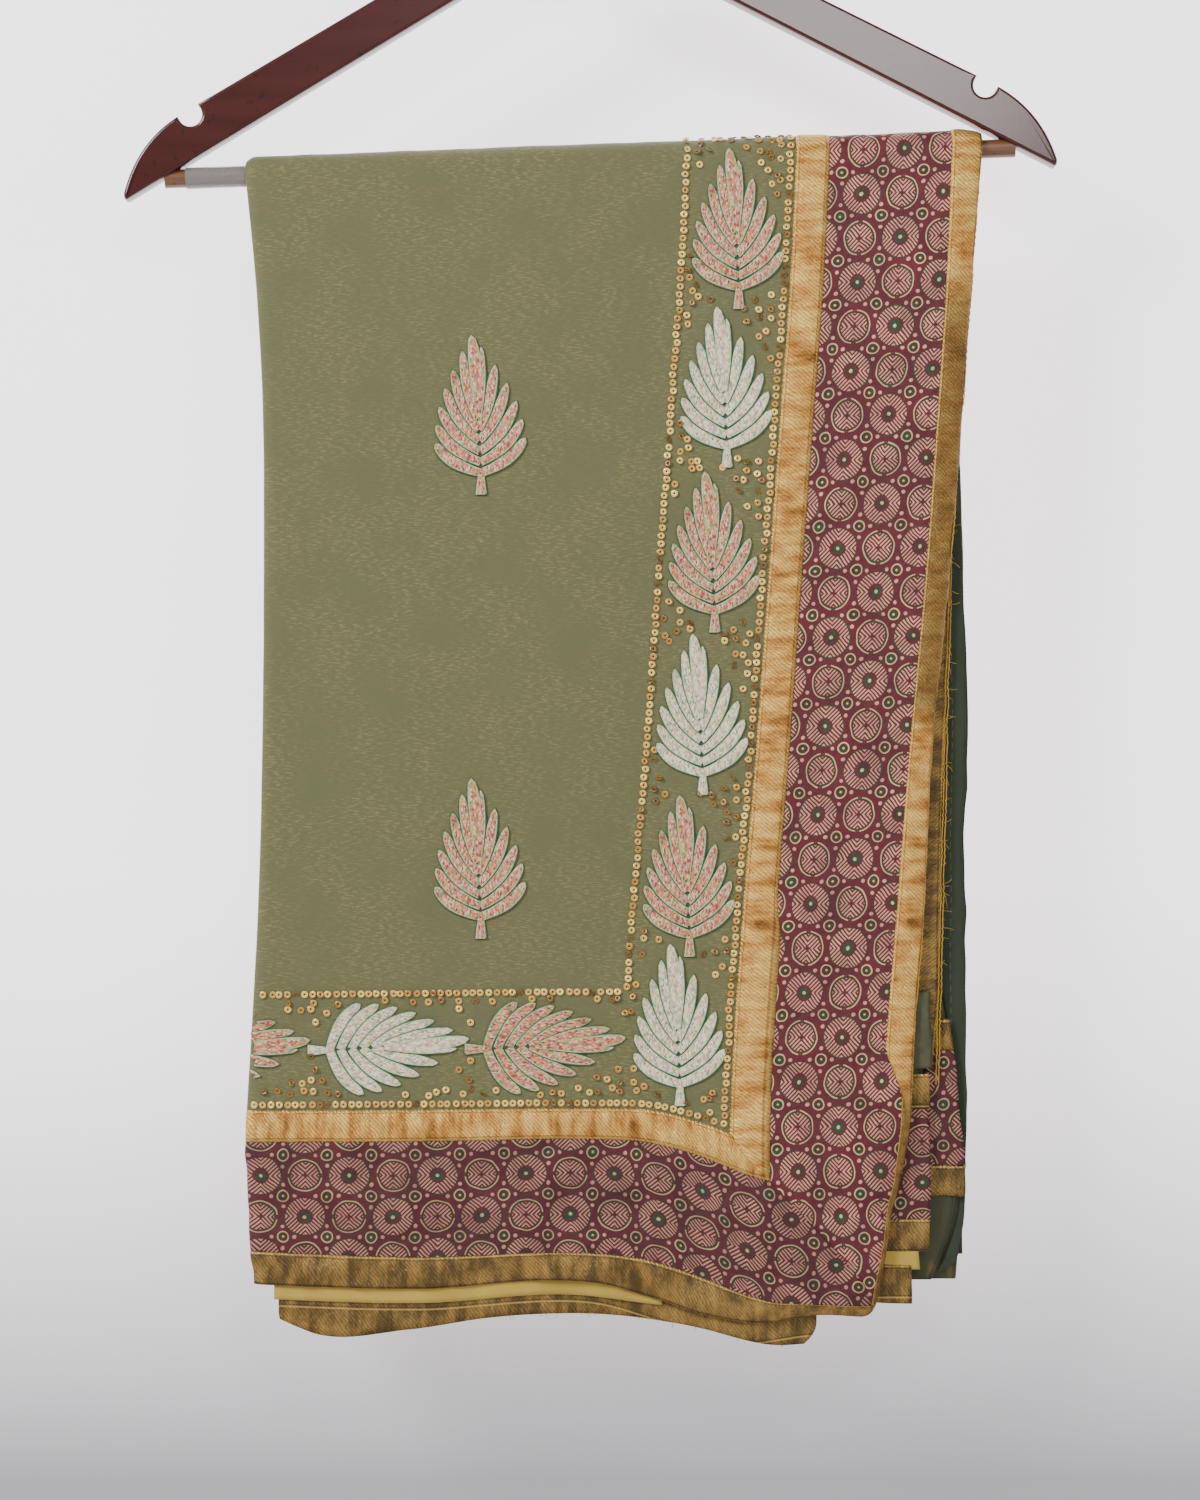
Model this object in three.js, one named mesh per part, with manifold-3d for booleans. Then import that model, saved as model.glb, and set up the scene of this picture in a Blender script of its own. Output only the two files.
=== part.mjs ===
// A folded saree hung over the trouser bar of a wooden hanger, in millimetres, +Z up.
// The origin is the inside top of the hook's crook, +X is to the right and -Y towards the viewer.
import * as THREE from 'three';
import { mergeVertices } from 'three/addons/utils/BufferGeometryUtils.js';
import Module from 'manifold-3d';

// Hanger
const TILT = THREE.MathUtils.degToRad(2.1);  // the hanger hangs with its right side higher
const HOOK_TO_BAR = 214;
const HALF_SPAN = 222.5;
const PLATE = 12;
const ARM_RISE = THREE.MathUtils.degToRad(29.2);
const TIP_BELOW_BAR = 10;
const ARM_DEPTH = { notch: 24.4, neck: 21.5 };  // measured straight up, not square to the arm
const NECK = { halfWidth: 13, top: 139, archTop: 108, archStart: 24 };
const BAR_RADIUS = 4.4;
const BAR_END = 203;
const SLEEVE = { inner: 4.7, outer: 5.1, left: -193, right: 176 };
const WIRE_RADIUS = 2.2;
const CROOK_RADIUS = 20;
const FERRULE = { inner: 2.5, outer: 5.5, height: 8 };
const GAP = 0.3;

// Cloth
const CLOTH = 1.2;        // wall of the top layer, the crinkle included
const TRIM = 1.0;         // wall of a ribbon and of an embroidered leaf
const ON_BAR = { inner: 5.4, stack: 2.6 };
const HALVES_APART = 0.8; // half the gap between the two hanging halves
const CREST_ARC = ON_BAR.inner + ON_BAR.stack;
const CREST_HALF = CREST_ARC * Math.PI / 2;
const HEM_DROP = 531;
const SEAM_INSET = GAP / 2;
const FOLD_NOSE = { width: 4.5, depth: 2.4 };
const RIGHT_TAPER = { width: 15, depth: 2 };
const CORNER_CURL = { start: 430, end: 500, depth: 1.5 };
const BACK_REACH = 260;   // the back follows the front's slant at first and then hangs straighter

// Lines along the cloth, as distances from the bar's middle: the left fold, the body side of the
// inner ribbon, the body side of the outer ribbon, and the open edge, at each drop below the bar.
const COLUMN_ROWS = [
  { drop: 0, left: -163.5, field: 98, outer: 172, edge: 186.5 },
  { drop: 60, left: -157.5, field: 95, outer: 169.2, edge: 181.5 },
  { drop: 120, left: -154.6, field: 90.5, outer: 165, edge: 177 },
  { drop: 200, left: -154.4, field: 84.5, outer: 159, edge: 170.5 },
  { drop: 280, left: -155, field: 78.7, outer: 151.5, edge: 162 },
  { drop: 360, left: -157, field: 72, outer: 145, edge: 158 },
  { drop: 420, left: -160, field: 67.8, outer: 140, edge: 153 },
  { drop: 465, left: -162, field: 66, outer: 138, edge: 150.5 },
  { drop: 500, left: -160.5, field: 67, outer: 135.5, edge: 142.5 },
  { drop: 530, left: -158.5, field: 70, outer: 130, edge: 137 },
  { drop: 560, left: -157.5, field: 72, outer: 126, edge: 133 },
];
const RIBBON_WIDTH = 16;

// Lines across the cloth near each hem, as drops below the bar at each place along it.
const FRONT_BAND = [
  { x: -165, field: 449.5, inner: 464.5, outer: 516, hem: 532 },
  { x: -80, field: 449.5, inner: 464.5, outer: 519, hem: 534 },
  { x: 0, field: 449.5, inner: 464, outer: 517.5, hem: 531 },
  { x: 30, field: 450.5, inner: 466, outer: 521.5, hem: 539 },
  { x: 52, field: 456, inner: 472, outer: 529, hem: 546 },
  { x: 80, field: 466, inner: 482.5, outer: 539, hem: 549.5 },
  { x: 106, field: 470, inner: 487, outer: 541, hem: 546 },
  { x: 150, field: 472, inner: 489, outer: 543, hem: 549 },
];
const BACK_BAND = [
  { x: -165, field: 446, inner: 462, outer: 514, hem: 530 },
  { x: -90, field: 453, inner: 469, outer: 521, hem: 537 },
  { x: 0, field: 450, inner: 466, outer: 518, hem: 534 },
  { x: 70, field: 457, inner: 473, outer: 525, hem: 541 },
  { x: 115, field: 459, inner: 475, outer: 527, hem: 543 },
  { x: 150, field: 451, inner: 467, outer: 519, hem: 535 },
  { x: 187, field: 440, inner: 456, outer: 508, hem: 524 },
];

// How far the face of the hanging stack stands from the bar's plane.
const FULLNESS = [
  { drop: 0, face: 8 },
  { drop: 40, face: 9 },
  { drop: 130, face: 10.4 },
  { drop: 300, face: 12.2 },
  { drop: 420, face: 15.4 },
  { drop: 520, face: 19 },
  { drop: 580, face: 19.6 },
];

// Shallow folds of the hanging cloth: each row is one soft ridge or trough that runs down the cloth.
const SOFT_FOLDS = [
  { x: -128, slant: -8, width: 26, from: 60, to: 420, height: -0.9 },
  { x: -20, slant: 26, width: 34, from: 40, to: 430, height: 0.8 },
  { x: 40, slant: -14, width: 22, from: 60, to: 470, height: -0.8 },
  { x: 20, slant: 6, width: 30, from: 400, to: 560, height: -2.6 },
  { x: 78, slant: 10, width: 34, from: 390, to: 560, height: 2.6 },
  { x: -100, slant: 4, width: 40, from: 400, to: 560, height: 1.4 },
];

// Right ends of the four bundles of hidden layers, from the innermost to the outermost.
const BUNDLE_ROWS = [
  { drop: 0, first: 181.5, second: 182, third: 181.5, fourth: 180.5 },
  { drop: 60, first: 177.5, second: 177, third: 176.5, fourth: 176 },
  { drop: 110, first: 174, second: 172.5, third: 172, fourth: 171.5 },
  { drop: 150, first: 177, second: 170, third: 169, fourth: 168 },
  { drop: 350, first: 178, second: 153.5, third: 152.5, fourth: 151 },
  { drop: 400, first: 178, second: 166, third: 157.5, fourth: 146 },
  { drop: 450, first: 178, second: 173, third: 158, fourth: 133 },
  { drop: 500, first: 177, second: 173.5, third: 158, fourth: 130 },
  { drop: 560, first: 172, second: 150, third: 147, fourth: 122 },
];
const BUNDLES = [
  { name: 'fourth', low: 0.68, high: 1, leftInset: 3.6 },
  { name: 'third', low: 0.45, high: 0.68, leftInset: 6.5 },
  { name: 'second', low: 0.25, high: 0.45, leftInset: 4.5 },
  { name: 'first', low: 0, high: 0.25, leftInset: 7.5 },
];
const BUNDLE_NOSE = 1.4;
const CORE_SINK = 0.5;    // the hidden stack lies this far under the top layer's bed

// Grid of the top layer: cells in the band from the edge inwards, then in the field
const BAND_CELLS = { outerRibbon: 1, brocade: 3, innerRibbon: 2 };
const BAND = BAND_CELLS.outerRibbon + BAND_CELLS.brocade + BAND_CELLS.innerRibbon;
const FIELD_COLUMNS = 10;
const FIELD_ROWS = 15;
const CREST_ROWS = 8;
const NOSE_STOPS = [0, 1.6];
const COLUMNS = BAND + FIELD_COLUMNS + NOSE_STOPS.length;
const SIDE_ROWS = BAND + FIELD_ROWS;
const ROWS = 2 * SIDE_ROWS + CREST_ROWS;

const COLOURS = {
  olive: 0x79784f, rear: 0x3b4536, maroon: 0x6b2032, gold: 0xa87f3e, lining: 0xc9b75a,
  pink: 0xd99b86, white: 0xd9d6cf, wood: 0x5a2620, dowel: 0x7a4a2c, clear: 0xd8d2cc, steel: 0xb9bcc0,
};

const wasm = await Module();
wasm.setup();

function finish(colour, roughness = 0.8, metalness = 0) {
  return new THREE.MeshStandardMaterial({ color: COLOURS[colour], roughness, metalness });
}

function named(name, geometry, material) {
  const mesh = new THREE.Mesh(geometry, material);
  mesh.name = name;
  return mesh;
}

function welded(geometry) {
  geometry.deleteAttribute('normal');
  geometry.deleteAttribute('uv');
  const merged = mergeVertices(geometry, 1e-5);
  merged.computeVertexNormals();
  return merged;
}

function toSolid(geometry) {
  const merged = welded(geometry.clone());
  const mesh = new wasm.Mesh({
    numProp: 3,
    vertProperties: new Float32Array(merged.attributes.position.array),
    triVerts: new Uint32Array(merged.index.array),
  });
  return new wasm.Manifold(mesh);
}

function fromSolid(solid) {
  const mesh = solid.getMesh();
  const geometry = new THREE.BufferGeometry();
  geometry.setAttribute('position', new THREE.BufferAttribute(new Float32Array(mesh.vertProperties), 3));
  geometry.setIndex(new THREE.BufferAttribute(new Uint32Array(mesh.triVerts), 1));
  geometry.computeVertexNormals();
  return geometry;
}

const { lerp } = THREE.MathUtils;
const clamp01 = (value) => Math.min(1, Math.max(0, value));
const smooth = (value) => clamp01(value) ** 2 * (3 - 2 * clamp01(value));

// Smooth curve through one named column of a table, by cubic pieces with shared slopes.
function along(rows, by, column, at) {
  const last = rows.length - 1;
  let i = 0;
  while (i < last - 1 && at > rows[i + 1][by]) i += 1;
  const slope = (a, b) => (rows[b][column] - rows[a][column]) / (rows[b][by] - rows[a][by]);
  const here = slope(i, i + 1);
  const before = i > 0 ? (slope(i - 1, i) + here) / 2 : here;
  const after = i + 2 <= last ? (here + slope(i + 1, i + 2)) / 2 : here;
  const length = rows[i + 1][by] - rows[i][by];
  const t = clamp01((at - rows[i][by]) / length);
  const low = rows[i][column];
  const high = rows[i + 1][column];
  return (2 * t ** 3 - 3 * t ** 2 + 1) * low + (3 * t ** 2 - 2 * t ** 3) * high
    + (t ** 3 - 2 * t ** 2 + t) * before * length + (t ** 3 - t ** 2) * after * length;
}

// A place on the cloth is x, measured from the bar's middle, and q, the distance over the crest:
// positive down the front, negative down the back.
const dropOf = (q) => Math.abs(q) - CREST_HALF;
const slantDrop = (q) => {
  const drop = Math.max(0, dropOf(q));
  return q < 0 ? BACK_REACH * (1 - Math.exp(-drop / BACK_REACH)) : drop;
};
const columnAt = (column, q) => along(COLUMN_ROWS, 'drop', column, slantDrop(q));

function foldHeight(x, q) {
  const drop = dropOf(q);
  if (drop <= 0) return 0;
  const mirrored = q < 0 ? -x : x;
  return SOFT_FOLDS.reduce((sum, fold) => {
    const t = (drop - fold.from) / (fold.to - fold.from);
    const across = (mirrored - fold.x - fold.slant * t) / fold.width;
    const reach = fold.to >= 560 ? smooth(t * 1.6) : Math.sin(Math.PI * clamp01(t)) ** 2;
    return sum + fold.height * reach * Math.exp(-(across ** 2));
  }, 0);
}

// How far the bed of the top layer falls back at the fold, at the open edge and at the curled corner.
function fallBack(x, q) {
  const fromFold = clamp01(1 - (x - columnAt('left', q)) / FOLD_NOSE.width);
  const fromEdge = clamp01(1 - (columnAt('edge', q) - x) / RIGHT_TAPER.width);
  const towardsHem = (dropOf(q) - CORNER_CURL.start) / (CORNER_CURL.end - CORNER_CURL.start);
  const curled = q > 0 ? smooth(towardsHem) : 0;
  return FOLD_NOSE.depth * fromFold ** 2 + (RIGHT_TAPER.depth + CORNER_CURL.depth * curled) * fromEdge ** 2;
}

// A point of the stack: share 0 is its face on the bar, share 1 the bed of the top layer.
function stackPoint(x, q, share, lift = 0) {
  const drop = dropOf(q);
  const back = fallBack(x, q);
  const rise = x * Math.tan(TILT);
  if (drop <= 0) {
    const angle = q / CREST_ARC;
    const radius = ON_BAR.inner + share * ON_BAR.stack - back * share ** 3 + lift;
    return new THREE.Vector3(x, -radius * Math.sin(angle), radius * Math.cos(angle) + rise);
  }
  const inner = HALVES_APART + (ON_BAR.inner - HALVES_APART) * (1 - smooth(drop / 60));
  const face = along(FULLNESS, 'drop', 'face', drop) + foldHeight(x, q);
  const stand = inner + share * (face - inner) - back * share ** 3 + lift;
  return new THREE.Vector3(x, -Math.sign(q) * stand, rise * (1 - drop / HEM_DROP) - drop);
}

// A point on the top layer's bed, lifted along the bed's normal.
function drape(x, q, lift) {
  const step = 0.4;
  const across = stackPoint(x + step, q, 1).sub(stackPoint(x - step, q, 1));
  const up = stackPoint(x, q - step, 1).sub(stackPoint(x, q + step, 1));
  return stackPoint(x, q, 1).addScaledVector(across.cross(up).normalize(), lift);
}

// Distance over the crest of a grid row at x, and place of a grid column at that distance.
function rowAt(row, x) {
  const onFront = row <= SIDE_ROWS;
  const fromHem = onFront ? row : ROWS - row;
  if (fromHem > SIDE_ROWS) return CREST_HALF * (1 - 2 * (row - SIDE_ROWS) / CREST_ROWS);
  const line = (column) => along(onFront ? FRONT_BAND : BACK_BAND, 'x', column, x);
  const { outerRibbon, brocade, innerRibbon } = BAND_CELLS;
  let drop = line('field') * (SIDE_ROWS - fromHem) / FIELD_ROWS;
  if (fromHem <= outerRibbon) {
    drop = lerp(line('hem'), line('outer'), fromHem / outerRibbon);
  } else if (fromHem <= outerRibbon + brocade) {
    drop = lerp(line('outer'), line('inner'), (fromHem - outerRibbon) / brocade);
  } else if (fromHem <= BAND) {
    drop = lerp(line('field'), line('inner'), (BAND - fromHem) / innerRibbon);
  }
  return (onFront ? 1 : -1) * (CREST_HALF + drop);
}

function columnPlace(column, q) {
  const left = columnAt('left', q);
  const field = columnAt('field', q);
  const outer = columnAt('outer', q);
  const inner = field + RIBBON_WIDTH;
  const { outerRibbon, brocade, innerRibbon } = BAND_CELLS;
  const fromEdge = COLUMNS - column;
  if (column < NOSE_STOPS.length) return left + NOSE_STOPS[column];
  if (fromEdge <= outerRibbon) return lerp(columnAt('edge', q), outer, fromEdge / outerRibbon);
  if (fromEdge <= outerRibbon + brocade) return lerp(outer, inner, (fromEdge - outerRibbon) / brocade);
  if (fromEdge <= BAND) return lerp(field, inner, (BAND - fromEdge) / innerRibbon);
  return lerp(left + FOLD_NOSE.width, field, (column - NOSE_STOPS.length) / FIELD_COLUMNS);
}

function gridPlace(column, row) {
  const nominal = columnPlace(column, rowAt(row, 0));
  const q = rowAt(row, nominal);
  return new THREE.Vector2(columnPlace(column, q), q);
}

// A wall between two faces: triangles are corner triples of grid keys, places maps a key to its
// place on the cloth. Free edges draw in by the inset, and get side faces.
function wallGeometry(triangles, places, lifts, inset, surface) {
  const edges = new Map();
  triangles.forEach((corners) => corners.forEach((from, i) => {
    edges.set(`${from}>${corners[(i + 1) % 3]}`, [from, corners[(i + 1) % 3]]);
  }));
  const border = [...edges.values()].filter(([from, to]) => !edges.has(`${to}>${from}`));
  const shift = new Map();
  border.forEach(([from, to]) => {
    // The grid runs with +x to the right and q falling upwards, so inwards is a quarter turn left.
    const run = places.get(to).clone().sub(places.get(from));
    const inward = new THREE.Vector2(run.y, -run.x).normalize();
    [from, to].forEach((key) => shift.set(key, [...(shift.get(key) ?? []), inward]));
  });
  const moved = (key) => {
    const normals = shift.get(key);
    const place = places.get(key).clone();
    if (!normals) return place;
    const sum = normals.reduce((total, normal) => total.add(normal), new THREE.Vector2());
    const scale = normals.length > 1 ? Math.max(0.3, sum.lengthSq() / 2) : 1;
    return place.addScaledVector(sum, inset / scale);
  };
  const keys = [...new Set(triangles.flat())];
  const number = new Map(keys.map((key, i) => [key, i]));
  const positions = [];
  lifts.forEach((lift) => keys.forEach((key) => {
    const place = moved(key);
    positions.push(...surface(place.x, place.y, lift));
  }));
  const top = (key) => number.get(key) + keys.length;
  const index = [];
  triangles.forEach(([a, b, c]) => {
    index.push(top(a), top(b), top(c));
    index.push(number.get(a), number.get(c), number.get(b));
  });
  border.forEach(([from, to]) => {
    index.push(number.get(from), number.get(to), top(to));
    index.push(number.get(from), top(to), top(from));
  });
  const geometry = new THREE.BufferGeometry();
  geometry.setAttribute('position', new THREE.Float32BufferAttribute(positions, 3));
  geometry.setIndex(index);
  geometry.computeVertexNormals();
  return geometry;
}

const places = new Map();
for (let column = 0; column <= COLUMNS; column += 1) {
  for (let row = 0; row <= ROWS; row += 1) places.set(`${column},${row}`, gridPlace(column, row));
}

// The grid cells of one panel of the top layer. Where two bands meet, the mitre follows the diagonal.
function panelTriangles(belongs) {
  const triangles = [];
  for (let column = 0; column < COLUMNS; column += 1) {
    for (let row = 0; row < ROWS; row += 1) {
      const key = (right, up) => `${column + right},${row + up}`;
      const onFront = row < ROWS / 2;
      const fromEdge = COLUMNS - 1 - column;
      const fromHem = onFront ? row : ROWS - 1 - row;
      const side = onFront ? 'front' : 'back';
      const hemHalf = onFront
        ? [key(0, 0), key(1, 0), key(0, 1)] : [key(0, 0), key(1, 1), key(0, 1)];
      const endHalf = onFront
        ? [key(1, 0), key(1, 1), key(0, 1)] : [key(0, 0), key(1, 0), key(1, 1)];
      const hemPart = fromHem <= fromEdge ? `hem_${side}` : 'end';
      const endPart = fromHem < fromEdge ? `hem_${side}` : 'end';
      if (belongs(hemPart, Math.min(fromEdge, fromHem))) triangles.push(hemHalf);
      if (belongs(endPart, Math.min(fromEdge, fromHem))) triangles.push(endHalf);
    }
  }
  return triangles;
}

function panel(name, belongs, low, thickness, material) {
  const lifts = [low, low + thickness];
  return named(name, wallGeometry(panelTriangles(belongs), places, lifts, SEAM_INSET, drape), material);
}

const ON_CLOTH = GAP + CLOTH + GAP;
const SEAM_CELL = BAND - 1;

function topLayer(group) {
  const olive = finish('olive', 0.85);
  const maroon = finish('maroon', 0.75);
  const gold = finish('gold', 0.42, 0.5);
  group.add(panel('body_cloth', (part, depth) => depth >= SEAM_CELL, GAP, CLOTH, olive));
  const innerFrom = BAND - BAND_CELLS.innerRibbon;
  ['end', 'hem_front', 'hem_back'].forEach((part) => {
    const [first, side] = part.split('_');
    const tail = side ? `_${side}` : '';
    const isBrocade = (where, depth) => where === part && depth < SEAM_CELL;
    const isInner = (where, depth) => where === part && depth >= innerFrom && depth < BAND;
    const isOuter = (where, depth) => where === part && depth < BAND_CELLS.outerRibbon;
    group.add(panel(`${first}_brocade${tail}`, isBrocade, GAP, CLOTH, maroon));
    group.add(panel(`${first}_inner_ribbon${tail}`, isInner, ON_CLOTH, TRIM, gold));
    group.add(panel(`${first}_outer_ribbon${tail}`, isOuter, ON_CLOTH, TRIM, gold));
  });
}

// The hidden layers: a section of four rounded bundles, carried from hem to hem over the bar.
function foldedLayers() {
  const hangingDrops = [500, 450, 400, 350, 300, 250, 200, 150, 110, 60, 25];
  const belowHem = { front: 6, back: -9 };
  const shares = 8;
  const section = (q, height) => {
    const drop = slantDrop(q);
    const left = columnAt('left', q);
    const rightEnd = (bundle) => along(BUNDLE_ROWS, 'drop', bundle.name, drop);
    const points = [];
    const add = (x, share) => points.push(stackPoint(x, q, share * height, -CORE_SINK * share));
    const [outermost] = BUNDLES;
    const innermost = BUNDLES[BUNDLES.length - 1];
    for (let i = 1; i < shares; i += 1) {
      add(lerp(left + outermost.leftInset, rightEnd(outermost), i / shares), 1);
    }
    BUNDLES.forEach((bundle) => {
      const middle = (bundle.low + bundle.high) / 2;
      add(rightEnd(bundle) - BUNDLE_NOSE, bundle.high - 0.02);
      add(rightEnd(bundle), middle);
      add(rightEnd(bundle) - BUNDLE_NOSE, bundle.low + 0.02);
    });
    for (let i = shares - 1; i > 0; i -= 1) {
      add(lerp(left + innermost.leftInset, rightEnd(innermost), i / shares), 0);
    }
    [...BUNDLES].reverse().forEach((bundle) => {
      const start = left + bundle.leftInset;
      const middle = (bundle.low + bundle.high) / 2;
      add(start + BUNDLE_NOSE, bundle.low + 0.02);
      add(start, middle);
      add(start + BUNDLE_NOSE, bundle.high - 0.02);
    });
    return points;
  };
  const stations = [];
  const hang = (side) => {
    const sign = side === 'front' ? 1 : -1;
    const bottom = HEM_DROP + belowHem[side];
    const stepped = [[bottom, 0.72], [bottom - 15, 0.72], [bottom - 20, 1]];
    const whole = hangingDrops.map((drop) => [drop, 1]);
    return [...stepped, ...whole].map(([drop, height]) => [sign * (CREST_HALF + drop), height]);
  };
  stations.push(...hang('front'));
  for (let i = 0; i <= CREST_ROWS; i += 1) stations.push([CREST_HALF * (1 - 2 * i / CREST_ROWS), 1]);
  stations.push(...hang('back').reverse());
  const rings = stations.map(([q, height]) => section(q, height));
  return loft(rings);
}

// A closed solid through rings of equal length, whose two end caps both face down.
function loft(rings) {
  const count = rings[0].length;
  const positions = rings.flat().flatMap((point) => point.toArray());
  const index = [];
  for (let ring = 0; ring + 1 < rings.length; ring += 1) {
    for (let i = 0; i < count; i += 1) {
      const a = ring * count + i;
      const b = ring * count + (i + 1) % count;
      index.push(a, b, a + count, b, b + count, a + count);
    }
  }
  [[rings[0], 0], [rings[rings.length - 1], (rings.length - 1) * count]].forEach(([ring, start]) => {
    const flat = ring.map((point) => new THREE.Vector2(point.x, point.y));
    THREE.ShapeUtils.triangulateShape(flat, []).forEach(([a, b, c]) => {
      index.push(start + a, start + c, start + b);
    });
  });
  const geometry = new THREE.BufferGeometry();
  geometry.setAttribute('position', new THREE.Float32BufferAttribute(positions, 3));
  geometry.setIndex(index);
  geometry.computeVertexNormals();
  return geometry;
}

// A strip of a hidden layer that shows: a wall over a small grid between two edges and two ends.
function strip(name, limits, material) {
  const { side = 1, left, right, top, bottom, share, lift, thickness = TRIM, cells } = limits;
  const [across, down] = cells;
  const stripPlaces = new Map();
  const triangles = [];
  const value = (limit, at) => (typeof limit === 'function' ? limit(at) : limit);
  for (let i = 0; i <= across; i += 1) {
    for (let j = 0; j <= down; j += 1) {
      const guess = lerp(value(left, value(top, 0)), value(right, value(top, 0)), i / across);
      const drop = lerp(value(bottom, guess), value(top, guess), j / down);
      const x = lerp(value(left, drop), value(right, drop), i / across);
      stripPlaces.set(`${i},${j}`, new THREE.Vector2(x, CREST_HALF + drop));
      if (i < across && j < down) {
        const key = (over, up) => `${i + over},${j + up}`;
        triangles.push([key(0, 0), key(1, 0), key(0, 1)], [key(1, 0), key(1, 1), key(0, 1)]);
      }
    }
  }
  const surface = (x, q, rise) => stackPoint(x, side * q, share, rise);
  const outward = side > 0 ? triangles : triangles.map(([a, b, c]) => [a, c, b]);
  const geometry = wallGeometry(outward, stripPlaces, [lift, lift + thickness], 0, surface);
  return named(name, geometry, material);
}

const hemLine = (side, x) => along(side > 0 ? FRONT_BAND : BACK_BAND, 'x', 'hem', x);

const SECOND_HEM = [
  { x: -147, low: 549 }, { x: -134, low: 556 }, { x: -90, low: 554 }, { x: -40, low: 547.5 },
  { x: 0, low: 546.5 }, { x: 40, low: 551 }, { x: 92, low: 560.5 }, { x: 107, low: 560 },
];

function hemStrips(group, side, label) {
  const gold = finish('gold', 0.5, 0.4);
  const lower = side > 0 ? 0 : -1;
  group.add(strip(`second_hem_ribbon_${label}`, {
    side, left: -147, right: 107, share: 1, lift: -2.7, cells: [12, 1],
    top: (x) => hemLine(side, x) - 5, bottom: (x) => along(SECOND_HEM, 'x', 'low', x) + lower,
  }, gold));
  group.add(strip(`lining_strip_${label}`, {
    side, left: -149, right: 34, share: 1, lift: -1.35, cells: [9, 1],
    top: (x) => hemLine(side, x) - 5, bottom: (x) => hemLine(side, x) + 8 * smooth((60 - x) / 60) - 1,
  }, finish('lining', 0.8)));
}

const bundleEnd = (name, drop) => along(BUNDLE_ROWS, 'drop', name, drop);

function sideStrips(group) {
  const rear = finish('rear', 0.9);
  group.add(strip('second_layer_front', {
    left: (drop) => bundleEnd('second', drop) + 2,
    right: (drop) => 179.2 - 5 * (1 - smooth((drop - 140) / 90)) - 5 * smooth((drop - 480) / 60),
    top: 150, bottom: 528, share: 0.25, lift: 0.1, cells: [1, 14],
  }, rear));
  group.add(strip('second_layer_back', {
    side: -1, left: (drop) => columnAt('edge', -drop) - 3,
    right: (drop) => Math.min(columnAt('edge', -drop) + 5, 179.5),
    top: 110, bottom: 520, share: 0.25, lift: 0.1, cells: [1, 14],
  }, rear));
}

function borderCorner(group, label, { left, right, share, lift, drops }) {
  const maroon = finish('maroon', 0.75);
  const gold = finish('gold', 0.45, 0.5);
  const pieces = [
    ['inner_ribbon', drops[0], drops[1], gold],
    ['brocade', drops[1], drops[2], maroon],
    ['outer_ribbon', drops[2], drops[3], gold],
  ];
  pieces.forEach(([piece, top, bottom, material]) => {
    group.add(strip(`${label}_${piece}`, {
      left, right, share, lift, top: top + SEAM_INSET, bottom: bottom - SEAM_INSET,
      cells: [1, Math.max(1, Math.round((bottom - top) / 25))],
    }, material));
  });
}

// One embroidered leaf: a top lobe leaning left and six sickle lobes on each side over a round base.
const LEAF = { length: 69, lobes: 6, reach: 0.33, lean: -0.05, stem: 5, stemHalf: 2 };

function leafOutline(keepFrom) {
  const halfWidth = (up) => LEAF.reach * Math.sin(Math.PI / 2 * (1 - up) ** 0.8);
  const centre = (up) => LEAF.lean * up ** 2;
  const half = (side) => {
    const points = [];
    for (let lobe = 0; lobe < LEAF.lobes; lobe += 1) {
      const up = 0.9 - 0.13 * lobe + (side < 0 ? -0.02 : 0.01);
      if (up - 0.05 < keepFrom) break;
      const wide = halfWidth(up);
      points.push([centre(up) + side * (wide * 0.72 - 0.012), up - 0.05]);
      points.push([centre(up) + side * wide, up]);
    }
    return points;
  };
  const stemHalf = LEAF.stemHalf / LEAF.length;
  const stemEnd = -LEAF.stem / LEAF.length;
  const base = keepFrom > 0 ? [[0.2, keepFrom], [-0.2, keepFrom]] : [
    [0.31, 0.16], [0.24, 0.05], [0.12, 0], [stemHalf, -0.005], [stemHalf, stemEnd],
    [-stemHalf, stemEnd], [-stemHalf, -0.005], [-0.12, 0], [-0.24, 0.05], [-0.31, 0.16],
  ];
  const outline = [[LEAF.lean, 1], ...half(1), ...base, ...half(-1).reverse()];
  return outline.map(([out, up]) => new THREE.Vector2(out * LEAF.length, up * LEAF.length)).reverse();
}

// x and q are the place of the blade's foot, and turn is the way its tip points: 0 over the bar, 90 right.
function leaf(name, x, q, turn, colour, keepFrom = 0) {
  const shape = new THREE.Shape(leafOutline(keepFrom));
  const geometry = welded(new THREE.ExtrudeGeometry(shape, { depth: 1, bevelEnabled: false }));
  const position = geometry.attributes.position;
  const angle = THREE.MathUtils.degToRad(turn);
  for (let i = 0; i < position.count; i += 1) {
    const out = position.getX(i);
    const up = position.getY(i);
    const place = new THREE.Vector2(
      x + out * Math.cos(angle) + up * Math.sin(angle),
      q + out * Math.sin(angle) - up * Math.cos(angle),
    );
    const lift = ON_CLOTH + 0.15 + TRIM * position.getZ(i);
    position.setXYZ(i, ...drape(place.x, place.y, lift));
  }
  geometry.computeVertexNormals();
  return named(name, geometry, finish(colour, 0.6));
}

const WRAPPED_SHARE = 0.66;  // this much of the leaf beside the fold lies on the next layer
const LEAF_PITCH = 74.2;
const BAND_LEAVES = 6;
const BAND_LEAF = { fromRibbon: 24, frontFoot: 70, backFoot: -9 };
const FIELD_LEAF = { x: -51.5, drop: 150, pitch: 211 };

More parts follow.
